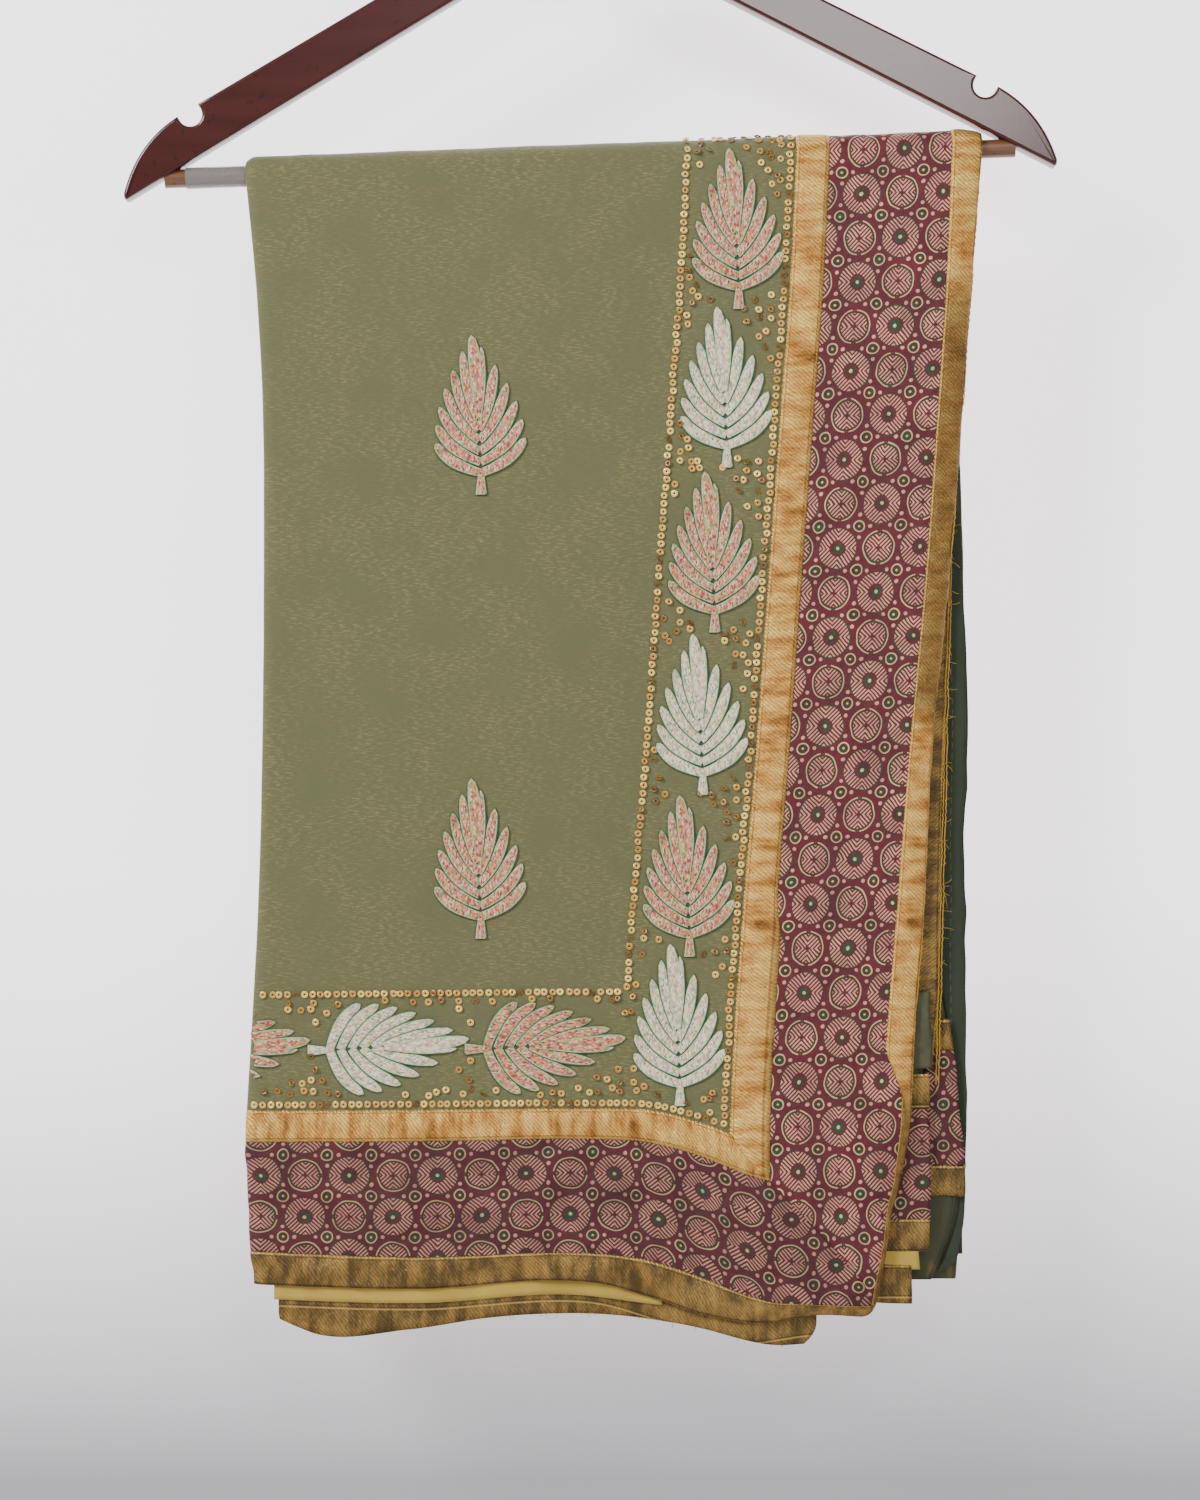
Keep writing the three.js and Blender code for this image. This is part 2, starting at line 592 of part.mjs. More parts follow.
function leaves(group) {
  const inBand = (q) => columnAt('field', q) - BAND_LEAF.fromRibbon;
  for (let i = 0; i < BAND_LEAVES; i += 1) {
    const colour = i % 2 ? 'white' : 'pink';
    const frontFoot = CREST_HALF + BAND_LEAF.frontFoot + i * LEAF_PITCH;
    const backFoot = -CREST_HALF + BAND_LEAF.backFoot - i * LEAF_PITCH;
    group.add(leaf(`leaf_end_front_${i + 1}`, inBand(frontFoot), frontFoot, 0, colour));
    group.add(leaf(`leaf_end_back_${i + 1}`, inBand(backFoot), backFoot, 0, i % 2 ? 'pink' : 'white'));
  }
  const rows = [['front', 1, 422], ['back', -1, 426]];
  rows.forEach(([label, side, drop]) => {
    const q = side * (CREST_HALF + drop);
    const left = columnAt('left', q);
    group.add(leaf(`leaf_hem_${label}_1`, left + 34.5, q, 90, 'white'));
    group.add(leaf(`leaf_hem_${label}_2`, left + 34.5 + LEAF_PITCH, q, 90, 'pink'));
    const wrapped = left + FOLD_NOSE.width + 0.5 - WRAPPED_SHARE * LEAF.length;
    group.add(leaf(`leaf_hem_${label}_3`, wrapped, q, 90, 'pink', WRAPPED_SHARE));
  });
  for (let i = 0; i < 2; i += 1) {
    const frontFoot = CREST_HALF + FIELD_LEAF.drop + i * FIELD_LEAF.pitch;
    group.add(leaf(`leaf_field_front_${i + 1}`, FIELD_LEAF.x, frontFoot, 0, 'pink'));
    const backFoot = CREST_HALF + FIELD_LEAF.drop - (i + 1) * FIELD_LEAF.pitch;
    group.add(leaf(`leaf_field_back_${i + 1}`, FIELD_LEAF.x, backFoot, 0, 'pink'));
  }
}

// One arm of the hanger: a plate with a shark's fin end and a strap notch, cut for the bar.
function armGeometry(side) {
  const lower = (x) => -TIP_BELOW_BAR + (HALF_SPAN - 1 - Math.abs(x)) * Math.tan(ARM_RISE);
  const upper = (x) => lower(x) + lerp(ARM_DEPTH.neck, ARM_DEPTH.notch, Math.abs(x) / 186);
  const shape = new THREE.Shape();
  const notch = { inner: 185.7, outer: 195.6, depth: 8 };
  const rise = new THREE.Vector2(Math.cos(ARM_RISE), -Math.sin(ARM_RISE));
  const across = new THREE.Vector2(-Math.sin(ARM_RISE), -Math.cos(ARM_RISE));
  const innerLip = new THREE.Vector2(notch.inner, upper(notch.inner));
  const radius = (notch.outer - notch.inner) / Math.cos(ARM_RISE) / 2;
  const bottom = innerLip.clone().addScaledVector(rise, radius)
    .addScaledVector(across, notch.depth - radius);
  shape.moveTo(SEAM_INSET, NECK.archTop);
  shape.quadraticCurveTo(NECK.archStart / 2, NECK.archTop, NECK.archStart, lower(NECK.archStart));
  shape.lineTo(HALF_SPAN - 3, lower(HALF_SPAN - 3));
  shape.quadraticCurveTo(HALF_SPAN, -TIP_BELOW_BAR - 1.5, HALF_SPAN, -TIP_BELOW_BAR + 3);
  const outerLip = innerLip.clone().addScaledVector(rise, radius * 2);
  shape.bezierCurveTo(HALF_SPAN - 4, 7, HALF_SPAN - 12, 20, outerLip.x, outerLip.y);
  const steps = 8;
  for (let i = 0; i <= steps; i += 1) {
    const angle = Math.PI * i / steps;
    const point = bottom.clone().addScaledVector(rise, radius * Math.cos(angle))
      .addScaledVector(across, radius * Math.sin(angle));
    shape.lineTo(point.x, point.y);
  }
  shape.lineTo(innerLip.x, innerLip.y);
  shape.lineTo(NECK.halfWidth + 8, upper(NECK.halfWidth + 8));
  shape.quadraticCurveTo(NECK.halfWidth, NECK.top - 6, NECK.halfWidth, NECK.top - 2);
  shape.lineTo(NECK.halfWidth - 2, NECK.top);
  shape.lineTo(SEAM_INSET, NECK.top);
  shape.closePath();
  const plate = new THREE.ExtrudeGeometry(shape, { depth: PLATE, bevelEnabled: false, curveSegments: 6 });
  plate.rotateX(Math.PI / 2);
  plate.translate(0, PLATE / 2, 0);
  const bore = new THREE.CylinderGeometry(BAR_RADIUS + GAP, BAR_RADIUS + GAP, BAR_END + GAP, 20);
  bore.rotateZ(Math.PI / 2);
  bore.translate((BAR_END + GAP) / 2, 0, 0);
  const solid = toSolid(plate).subtract(toSolid(bore));
  const geometry = fromSolid(solid);
  if (side < 0) geometry.rotateZ(Math.PI);
  return geometry;
}

function hookGeometry() {
  const middle = -CROOK_RADIUS;
  const bend = CROOK_RADIUS + WIRE_RADIUS;
  const foot = -HOOK_TO_BAR + NECK.top + GAP;
  const points = [[0, foot], [0, foot + 10], [1.5, foot + 20], [9, foot + 32]];
  for (let angle = -35; angle <= 205; angle += 15) {
    const turn = THREE.MathUtils.degToRad(angle);
    points.push([bend * Math.cos(turn), middle + bend * Math.sin(turn)]);
  }
  const path = new THREE.CatmullRomCurve3(points.map(([x, z]) => new THREE.Vector3(x, 0, z)));
  const ring = new THREE.Shape().absarc(0, 0, WIRE_RADIUS, 0, Math.PI * 2);
  const sweep = { steps: 44, extrudePath: path, curveSegments: 5, bevelEnabled: false };
  return new THREE.ExtrudeGeometry(ring, sweep);
}

function ringGeometry(inner, outer, length, segments) {
  const profile = [[inner, 0], [outer, 0], [outer, length], [inner, length], [inner, 0]];
  return new THREE.LatheGeometry(profile.map(([r, y]) => new THREE.Vector2(r, y)), segments);
}

function hanger() {
  const group = new THREE.Group();
  group.rotation.y = -TILT;
  const wood = finish('wood', 0.3);
  const onBar = new THREE.Group();
  onBar.position.z = -HOOK_TO_BAR;
  onBar.add(named('hanger_arm_right', armGeometry(1), wood));
  onBar.add(named('hanger_arm_left', armGeometry(-1), wood));
  const bar = new THREE.CylinderGeometry(BAR_RADIUS, BAR_RADIUS, 2 * BAR_END, 20);
  bar.rotateZ(Math.PI / 2);
  onBar.add(named('trouser_bar', bar, finish('dowel', 0.5)));
  const sleeve = ringGeometry(SLEEVE.inner, SLEEVE.outer, SLEEVE.right - SLEEVE.left, 20);
  sleeve.rotateZ(-Math.PI / 2);
  sleeve.translate(SLEEVE.left, 0, 0);
  onBar.add(named('bar_sleeve', sleeve, finish('clear', 0.25)));
  const ferrule = ringGeometry(FERRULE.inner, FERRULE.outer, FERRULE.height, 20);
  ferrule.rotateX(Math.PI / 2);
  ferrule.translate(0, 0, NECK.top + GAP);
  onBar.add(named('hook_ferrule', ferrule, finish('steel', 0.3, 1)));
  group.add(onBar);
  group.add(named('hook', hookGeometry(), finish('steel', 0.3, 1)));
  return group;
}

function saree() {
  const cloth = new THREE.Group();
  cloth.position.set(HOOK_TO_BAR * Math.sin(TILT), 0, -HOOK_TO_BAR * Math.cos(TILT));
  cloth.add(named('folded_layers', foldedLayers(), finish('rear', 0.9)));
  topLayer(cloth);
  hemStrips(cloth, 1, 'front');
  hemStrips(cloth, -1, 'back');
  sideStrips(cloth);
  const besideEdge = (drop) => columnAt('edge', CREST_HALF + drop) - 2;
  borderCorner(cloth, 'corner_a', {
    left: 159.3, right: (drop) => bundleEnd('second', drop) + 3, share: 0.45, lift: 0.1,
    drops: [410, 424, 478.5, 492],
  });
  borderCorner(cloth, 'corner_b', {
    left: besideEdge, right: 161, share: 0.68, lift: 0.7, drops: [435, 450.5, 503, 517],
  });
  cloth.add(strip('corner_lining', {
    left: besideEdge, right: 156, top: 517 + SEAM_INSET, bottom: 525 - SEAM_INSET,
    share: 0.68, lift: 0.7, cells: [1, 1],
  }, finish('lining', 0.8)));
  cloth.add(strip('corner_c_ribbon', {
    left: besideEdge, right: 152, top: 525 + SEAM_INSET, bottom: 542, share: 0.68, lift: 0.7, cells: [1, 1],
  }, finish('gold', 0.45, 0.5)));
  leaves(cloth);
  return cloth;
}

const group = new THREE.Group();
group.add(hanger(), saree());

export default group;
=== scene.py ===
"""The look of a folded saree on its wooden hanger: cloth, borders, embroidery, sequins and finishes.

Lengths in the tables and shape functions are millimetres; meshes are made in metres.
A place on the cloth is x, from the bar's middle, and q, the way over the bar: positive down the
front, negative down the back.
"""
import math

import bpy
import numpy as np
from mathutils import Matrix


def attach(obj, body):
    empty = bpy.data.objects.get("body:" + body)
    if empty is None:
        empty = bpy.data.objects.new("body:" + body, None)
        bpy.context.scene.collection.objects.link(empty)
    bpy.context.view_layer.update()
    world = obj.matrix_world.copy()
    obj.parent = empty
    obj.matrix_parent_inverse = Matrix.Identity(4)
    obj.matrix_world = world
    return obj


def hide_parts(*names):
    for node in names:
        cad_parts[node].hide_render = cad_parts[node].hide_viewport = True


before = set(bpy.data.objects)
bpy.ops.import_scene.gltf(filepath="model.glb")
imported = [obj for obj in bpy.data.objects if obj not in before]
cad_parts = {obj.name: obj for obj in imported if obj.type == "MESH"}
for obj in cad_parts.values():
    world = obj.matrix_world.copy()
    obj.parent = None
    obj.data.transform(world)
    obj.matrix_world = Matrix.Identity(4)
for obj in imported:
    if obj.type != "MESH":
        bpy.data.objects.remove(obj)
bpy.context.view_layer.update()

MM = 0.001

# Sizes shared with the solids
TILT = math.radians(2.1)
HOOK_TO_BAR = 214
ON_BAR = {"inner": 5.4, "stack": 2.6}
HALVES_APART = 0.8
CREST_ARC = ON_BAR["inner"] + ON_BAR["stack"]
CREST_HALF = CREST_ARC * math.pi / 2
HEM_DROP = 531
FOLD_NOSE = {"width": 4.5, "depth": 2.4}
RIGHT_TAPER = {"width": 15, "depth": 2}
CORNER_CURL = {"start": 430, "end": 500, "depth": 1.5}
BACK_REACH = 260
CORNER_RADIUS = 8
RIBBON_WIDTH = 16
CLOTH_AT = np.array([HOOK_TO_BAR * math.sin(TILT), 0, -HOOK_TO_BAR * math.cos(TILT)])


def table(names, rows):
    """A table of named columns from rows of numbers."""
    return dict(zip(names.split(), np.array(rows, float).T))


# Lines down the cloth: left fold, body side of the inner ribbon, body side of the outer ribbon, edge.
COLUMNS = table("drop left field outer edge", [
    [0, -163.5, 98, 172, 186.5], [60, -157.5, 95, 169.2, 181.5], [120, -154.6, 90.5, 165, 177],
    [200, -154.4, 84.5, 159, 170.5], [280, -155, 78.7, 151.5, 162], [360, -157, 72, 145, 158],
    [420, -160, 67.8, 140, 153], [465, -162, 66, 138, 150.5], [500, -160.5, 67, 135.5, 142.5],
    [530, -158.5, 70, 130, 137], [560, -157.5, 72, 126, 133]])
# Lines across the cloth near each hem, as drops below the bar.
FRONT_BAND = table("x field inner outer hem", [
    [-165, 449.5, 464.5, 516, 532], [-80, 449.5, 464.5, 519, 534], [0, 449.5, 464, 517.5, 531],
    [30, 450.5, 466, 521.5, 539], [52, 456, 472, 529, 546], [80, 466, 482.5, 539, 549.5],
    [106, 470, 487, 541, 546], [150, 472, 489, 543, 549]])
BACK_BAND = table("x field inner outer hem", [
    [-165, 446, 462, 514, 530], [-90, 453, 469, 521, 537], [0, 450, 466, 518, 534],
    [70, 457, 473, 525, 541], [115, 459, 475, 527, 543], [150, 451, 467, 519, 535],
    [187, 440, 456, 508, 524]])
FULLNESS = table("drop face", [
    [0, 8], [40, 9], [130, 10.4], [300, 12.2], [420, 15.4], [520, 19], [580, 19.6]])
SOFT_FOLDS = table("x slant width start end height", [
    [-128, -8, 26, 60, 420, -0.9], [-20, 26, 34, 40, 430, 0.8], [40, -14, 22, 60, 470, -0.8],
    [20, 6, 30, 400, 560, -2.6], [78, 10, 34, 390, 560, 2.6], [-100, 4, 40, 400, 560, 1.4]])
# Right ends of the four bundles of hidden layers.
BUNDLES = table("drop first second third fourth", [
    [0, 181.5, 182, 181.5, 180.5], [60, 177.5, 177, 176.5, 176], [110, 174, 172.5, 172, 171.5],
    [150, 177, 170, 169, 168], [350, 178, 153.5, 152.5, 151], [400, 178, 166, 157.5, 146],
    [450, 178, 173, 158, 133], [500, 177, 173.5, 158, 130], [560, 172, 150, 147, 122]])
SECOND_HEM = table("x low", [
    [-147, 549], [-134, 556], [-90, 554], [-40, 547.5], [0, 546.5], [40, 551], [92, 560.5], [107, 560]])
BAND_STOPS = [0, 1, 4, 6]          # edge, outer ribbon, inner ribbon's border side, its body side
BAND, FIELD_ROWS, CREST_ROWS, COLUMN_COUNT = 6, 15, 8, 18
SIDE_ROWS = BAND + FIELD_ROWS
ROWS = 2 * SIDE_ROWS + CREST_ROWS


def smooth(value):
    """A step from 0 to 1 with level ends, three t squared less two t cubed."""
    t = np.clip(value, 0, 1)
    return t * t * (3 - 2 * t)


def along(rows, by, column, at):
    """Cubic pieces through one column of a table, each pair sharing the mean slope at its knot."""
    place, value = rows[by], rows[column]
    slope = np.diff(value) / np.diff(place)
    knot = np.concatenate([slope[:1], (slope[1:] + slope[:-1]) / 2, slope[-1:]])
    i = np.clip(np.searchsorted(place, at, side="left") - 1, 0, len(place) - 2)
    length = place[i + 1] - place[i]
    t = np.clip((at - place[i]) / length, 0, 1)
    return ((2 * t**3 - 3 * t**2 + 1) * value[i] + (3 * t**2 - 2 * t**3) * value[i + 1]
            + (t**3 - 2 * t**2 + t) * knot[i] * length + (t**3 - t**2) * knot[i + 1] * length)


def between(stops, values, at):
    """Straight pieces through values, one array for each stop, at a stop number for each element."""
    stops, values = np.array(stops, float), np.stack(np.broadcast_arrays(*values))
    i = np.clip(np.searchsorted(stops, at, side="right") - 1, 0, len(stops) - 2)
    share = (at - stops[i]) / (stops[i + 1] - stops[i])
    low = np.take_along_axis(values, i[None], 0)[0]
    high = np.take_along_axis(values, i[None] + 1, 0)[0]
    return low + (high - low) * share


def drop_of(q):
    """How far a place hangs below the bar's crest line."""
    return np.abs(q) - CREST_HALF


def slant_drop(q):
    """Drop that sets how far the lines lean; on the back it eases off as an exponential."""
    drop = np.maximum(0, drop_of(q))
    return np.where(q < 0, BACK_REACH * (1 - np.exp(-drop / BACK_REACH)), drop)


def line_down(name, q):
    """x of a line that runs down the cloth."""
    return along(COLUMNS, "drop", name, slant_drop(q))


def line_across(name, x, q):
    """Drop of a line that runs across the cloth, on the side where q lies."""
    return np.where(q > 0, along(FRONT_BAND, "x", name, x), along(BACK_BAND, "x", name, x))


def ripple(u, v, long_u, long_v, seed):
    """Smooth random heights from -1 to 1: seeded values on a lattice, joined by level steps."""
    heights = np.random.default_rng(seed).uniform(-1, 1, (97, 89))
    a, b = u / long_u + 500, v / long_v + 500
    i, j = np.floor(a).astype(int), np.floor(b).astype(int)
    s, t = smooth(a - i), smooth(b - j)

    def pick(right, up):
        return heights[(i + right) % 97, (j + up) % 89]

    return (pick(0, 0) * (1 - s) + pick(1, 0) * s) * (1 - t) + (pick(0, 1) * (1 - s) + pick(1, 1) * s) * t


def fold_height(x, q):
    """Sum of soft ridges: each a bell across its slanting line, growing and fading down it."""
    drop, mirrored, total = drop_of(q), np.where(q < 0, -x, x), 0
    for place, slant, width, start, end, height in zip(*SOFT_FOLDS.values()):
        t = (drop - start) / (end - start)
        reach = smooth(t * 1.6) if end >= 560 else np.sin(np.pi * np.clip(t, 0, 1)) ** 2
        total = total + height * reach * np.exp(-((mirrored - place - slant * t) / width) ** 2)
    return np.where(drop > 0, total, 0)


def fall_back(x, q):
    """Squared falls at the left fold, at the open edge, and more where the corner curls."""
    from_fold = np.clip(1 - (x - line_down("left", q)) / FOLD_NOSE["width"], 0, 1)
    from_edge = np.clip(1 - (line_down("edge", q) - x) / RIGHT_TAPER["width"], 0, 1)
    curled = smooth((drop_of(q) - CORNER_CURL["start"]) / (CORNER_CURL["end"] - CORNER_CURL["start"]))
    curled = np.where(q > 0, curled, 0)
    return (FOLD_NOSE["depth"] * from_fold**2
            + (RIGHT_TAPER["depth"] + CORNER_CURL["depth"] * curled) * from_edge**2)


def stack_point(x, q, share, lift=0.0):
    """Over the bar an arc, then a face that stands out from the bar's plane by the fullness and folds.

    Share 0 is the stack's face on the bar and share 1 the bed of the top layer.
    """
    drop, back, rise = drop_of(q), fall_back(x, q), x * math.tan(TILT)
    radius = ON_BAR["inner"] + share * ON_BAR["stack"] - back * share**3 + lift
    inner = HALVES_APART + (ON_BAR["inner"] - HALVES_APART) * (1 - smooth(drop / 60))
    face = along(FULLNESS, "drop", "face", drop) + fold_height(x, q)
    stand = inner + share * (face - inner) - back * share**3 + lift
    over = drop <= 0
    angle = q / CREST_ARC
    y = np.where(over, -radius * np.sin(angle), -np.sign(q) * stand)
    z = np.where(over, radius * np.cos(angle) + rise, rise * (1 - drop / HEM_DROP) - drop)
    return np.stack(np.broadcast_arrays(x, y, z), -1)


def unit(vectors):
    """Vectors divided by their lengths."""
    return vectors / np.maximum(np.linalg.norm(vectors, axis=-1, keepdims=True), 1e-9)


def bed(x, q):
    """Point, rightward and outward unit vectors of the top layer's bed, by small differences."""
    step = 0.4
    across = stack_point(x + step, q, 1) - stack_point(x - step, q, 1)
    up = stack_point(x, q - step, 1) - stack_point(x, q + step, 1)
    return stack_point(x, q, 1), unit(across), unit(np.cross(across, up))


def swell(x, q):
    """Uneven rise of the top layer: long soft waves, and pucker in the border that grows downwards."""
    low = smooth((drop_of(q) - 380) / 130)
    side = smooth((x - line_down("field", q)) / 12)
    hem = smooth((drop_of(q) - line_across("field", x, q)) / 12)
    pucker = np.maximum(side, hem)
    return (0.28 * ripple(x, q, 31, 83, 1) + 0.16 * ripple(x, q, 9, 17, 2)
            + pucker * (0.35 + 0.95 * low) * ripple(x, q, 17, 15, 3)
            + pucker * (0.25 + 0.35 * low) * ripple(x, q, 6, 7, 4))


def drape(x, q, lift):
    """A point of the top layer, lifted from its bed along the outward direction."""
    point, _, out = bed(x, q)
    return point + out * np.asarray(lift + swell(x, q))[..., None]


def row_at(row, x):
    """Way over the bar of a lattice row at x: straight shares between the lines of each band."""
    front = row <= ROWS / 2
    from_hem = np.where(front, row, ROWS - row)
    sign = np.where(front, 1.0, -1.0)
    lines = [line_across(name, x, sign) for name in ("hem", "outer", "inner", "field")]
    drop = between(BAND_STOPS + [SIDE_ROWS], lines + [0 * x], np.minimum(from_hem, SIDE_ROWS))
    crest = CREST_HALF * (1 - 2 * (row - SIDE_ROWS) / CREST_ROWS)
    return np.where(from_hem > SIDE_ROWS, crest, sign * (CREST_HALF + drop))


def column_at(column, q):
    """x of a lattice column: straight shares between fold, field, ribbons and edge."""
    left, field = line_down("left", q), line_down("field", q)
    lines = [left, left + 1.6, left + FOLD_NOSE["width"], field, field + RIBBON_WIDTH,
             line_down("outer", q), line_down("edge", q)]
    return between([0, 1, 2, 12, 14, 17, COLUMN_COUNT], lines, column)


def lattice(column, row):
    """Place (x, q) of a lattice point; open corners take the map of a square onto a quarter disc."""
    nominal = column_at(column, row_at(row, 0 * column))
    q = row_at(row, nominal)
    x = column_at(column, q)
    a = np.clip(1 - (line_down("edge", q) - x) / CORNER_RADIUS, 0, 1)
    b = np.clip(1 - (line_across("hem", x, q) - drop_of(q)) / CORNER_RADIUS, 0, 1)
    inward = CORNER_RADIUS * a * (1 - np.sqrt(1 - b**2 / 2))
    upward = CORNER_RADIUS * b * (1 - np.sqrt(1 - a**2 / 2))
    return x - inward, q - np.sign(q) * upward


def fine(stops, counts):
    """Numbers from the first stop to the last, with that many steps in each interval."""
    parts = [np.linspace(a, b, n, endpoint=False) for a, b, n in zip(stops, stops[1:], counts)]
    return np.concatenate(parts + [[stops[-1]]])


# Meshes

def quads(rows, columns, close=False):
    """Corner numbers of the cells of a grid; close joins the last column to the first."""
    i, j = np.meshgrid(np.arange(rows - 1), np.arange(columns if close else columns - 1), indexing="ij")
    right = (j + 1) % columns
    corners = [i * columns + j, i * columns + right, (i + 1) * columns + right, (i + 1) * columns + j]
    return np.stack(corners, -1).reshape(-1, 4)


def new_mesh(name, points, faces, material, uv=None):
    """A mesh object at the origin, its points in metres, smooth, with a UV for each corner."""
    mesh = bpy.data.meshes.new(name)
    mesh.from_pydata(points.reshape(-1, 3).tolist(), [], [list(map(int, face)) for face in faces])
    if uv is not None:
        corner = np.zeros(len(mesh.loops), np.int32)
        mesh.loops.foreach_get("vertex_index", corner)
        layer = mesh.uv_layers.new(name="cut")
        layer.data.foreach_set("uv", uv.reshape(-1, 2)[corner].astype(np.float32).ravel())
    mesh.polygons.foreach_set("use_smooth", np.ones(len(mesh.polygons), bool))
    mesh.materials.append(material)
    mesh.validate()
    obj = bpy.data.objects.new(name, mesh)
    bpy.context.scene.collection.objects.link(obj)
    return obj


def dress(obj, slot, *nodes):
    """Fixes a piece to the body and lets it stand for CAD nodes, which it hides; the slot is not used."""
    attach(obj, "root")
    if nodes:
        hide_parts(*nodes)
    return obj


def on_cloth(points):
    """Cloth millimetres to the row frame in metres."""
    return (points + CLOTH_AT) * MM


def cloth(name, points, uv, material, slot, *nodes, thick=0.5, out=(0, -1, 0)):
    """A grid of cloth points turned to face outwards, with a wall laid behind it."""
    rows, columns = points.shape[:2]
    faces = quads(rows, columns)
    i, j = rows // 4, columns // 4
    normal = np.cross(points[i + 1, j] - points[i, j], points[i, j + 1] - points[i, j])
    if normal @ np.array(out) < 0:
        faces = faces[:, ::-1]
    obj = new_mesh(name, on_cloth(points), faces[:, ::-1], material, uv)
    wall = obj.modifiers.new("wall", "SOLIDIFY")
    wall.thickness, wall.offset = thick * MM, -1
    return dress(obj, slot, *nodes)


# Shader graphs

def paint(red, green, blue, share=0.8):
    """A display colour from 0 to 255 as linear light, less the share that a bright studio adds."""
    value = np.array([red, green, blue]) / 255
    linear = np.where(value <= 0.04045, value / 12.92, ((value + 0.055) / 1.055) ** 2.4) * share
    return (*linear.tolist(), 1.0)


class Graph:
    """Adds nodes to a material or a group; each method returns the socket that it makes."""

    def __init__(self, tree):
        self.tree = tree

    def node(self, kind, **settings):
        node = self.tree.nodes.new(kind)
        for name, value in settings.items():
            setattr(node, name, value)
        return node

    def join(self, value, socket):
        if isinstance(value, bpy.types.NodeSocket):
            self.tree.links.new(value, socket)
        else:
            socket.default_value = value

    def math(self, operation, *values, clamp=False):
        node = self.node("ShaderNodeMath", operation=operation, use_clamp=clamp)
        for value, socket in zip(values, node.inputs):
            self.join(value, socket)
        return node.outputs[0]

    def line(self, value, slope, start, **limits):
        """Slope times the value, plus the start."""
        return self.math("MULTIPLY_ADD", value, slope, start, **limits)

    def less(self, first, second):
        return self.math("SUBTRACT", first, second)

    def sum(self, first, second, **limits):
        return self.math("ADD", first, second, **limits)

    def both(self, first, second):
        return self.math("MULTIPLY", first, second)

    def flip(self, value):
        return self.less(1.0, value)

    def apart(self, first, second):
        return self.math("ABSOLUTE", self.less(first, second))

    def long(self, first, second):
        """Length of the vector of two numbers."""
        return self.math("SQRT", self.line(first, first, self.both(second, second)))

    def under(self, value, limit, soft=0.25):
        """1 where the value is below the limit, falling to 0 over the soft width."""
        return self.line(self.less(limit, value), 1 / soft, 0.5, clamp=True)

    def over(self, value, limit, soft=0.25):
        return self.flip(self.under(value, limit, soft))

    def ring(self, value, low, high):
        """1 where the value lies between two limits."""
        return self.both(self.under(value, high), self.over(value, low))

    def mix(self, factor, first, second, blend="MIX"):
        node = self.node("ShaderNodeMix", data_type="RGBA", blend_type=blend)
        for value, socket in ((factor, 0), (first, 6), (second, 7)):
            self.join(value, node.inputs[socket])
        return node.outputs[2]

    def pick(self, factor, first, second):
        node = self.node("ShaderNodeMix", data_type="FLOAT")
        for value, socket in ((factor, 0), (first, 2), (second, 3)):
            self.join(value, node.inputs[socket])
        return node.outputs[0]

    def noise(self, place, scale, detail=2.0, rough=0.5):
        node = self.node("ShaderNodeTexNoise")
        for name, value in (("Vector", place), ("Scale", scale), ("Detail", detail), ("Roughness", rough)):
            self.join(value, node.inputs[name])
        return node.outputs["Fac"]

    def cells(self, place, scale, output="Color"):
        node = self.node("ShaderNodeTexVoronoi")
        self.join(place, node.inputs["Vector"])
        self.join(scale, node.inputs["Scale"])
        return node.outputs[output]

    def turned(self, place, angle, scale):
        node = self.node("ShaderNodeMapping")
        self.join(place, node.inputs["Vector"])
        node.inputs["Rotation"].default_value = (0, 0, math.radians(angle))
        node.inputs["Scale"].default_value = scale
        return node.outputs[0]

    def ramp(self, factor, stops, step=False):
        """Colours at their places along 0 to 1."""
        node = self.node("ShaderNodeValToRGB")
        node.color_ramp.interpolation = "CONSTANT" if step else "LINEAR"
        elements = node.color_ramp.elements
        while len(elements) < len(stops):
            elements.new(1.0)
        for element, (place, colour) in zip(elements, stops):
            element.position, element.color = place, colour
        self.join(factor, node.inputs[0])
        return node.outputs[0]

    def axes(self, vector):
        node = self.node("ShaderNodeSeparateXYZ")
        self.join(vector, node.inputs[0])
        return node.outputs[0], node.outputs[1], node.outputs[2]

    def cut(self):
        """The piece's own map: millimetres across and along the cut cloth."""
        return self.node("ShaderNodeUVMap", uv_map="cut").outputs[0]

    def solid(self):
        return self.node("ShaderNodeTexCoord").outputs["Object"]

    def bump(self, height, distance, strength=1.0):
        node = self.node("ShaderNodeBump")
        for name, value in (("Height", height), ("Distance", distance * MM), ("Strength", strength)):
            self.join(value, node.inputs[name])
        return node.outputs[0]

    def group(self, name, **values):
        node = self.node("ShaderNodeGroup", node_tree=EFFECTS[name])
        for socket, value in values.items():
            self.join(value, node.inputs[socket])
        return node.outputs


EFFECTS = {}


def effect(name, inputs, outputs, build):
    """A shader node group: inputs and outputs name each socket's kind, and build returns the outputs."""
    tree = bpy.data.node_groups.new(name, "ShaderNodeTree")
    for label, kind in inputs.items():
        tree.interface.new_socket(label, in_out="INPUT", socket_type="NodeSocket" + kind)
    for label, kind in outputs.items():
        tree.interface.new_socket(label, in_out="OUTPUT", socket_type="NodeSocket" + kind)
    graph = Graph(tree)
    entry, end = graph.node("NodeGroupInput"), graph.node("NodeGroupOutput")
    for socket, value in zip(end.inputs, build(graph, *[entry.outputs[label] for label in inputs])):
        graph.join(value, socket)
    EFFECTS[name] = tree


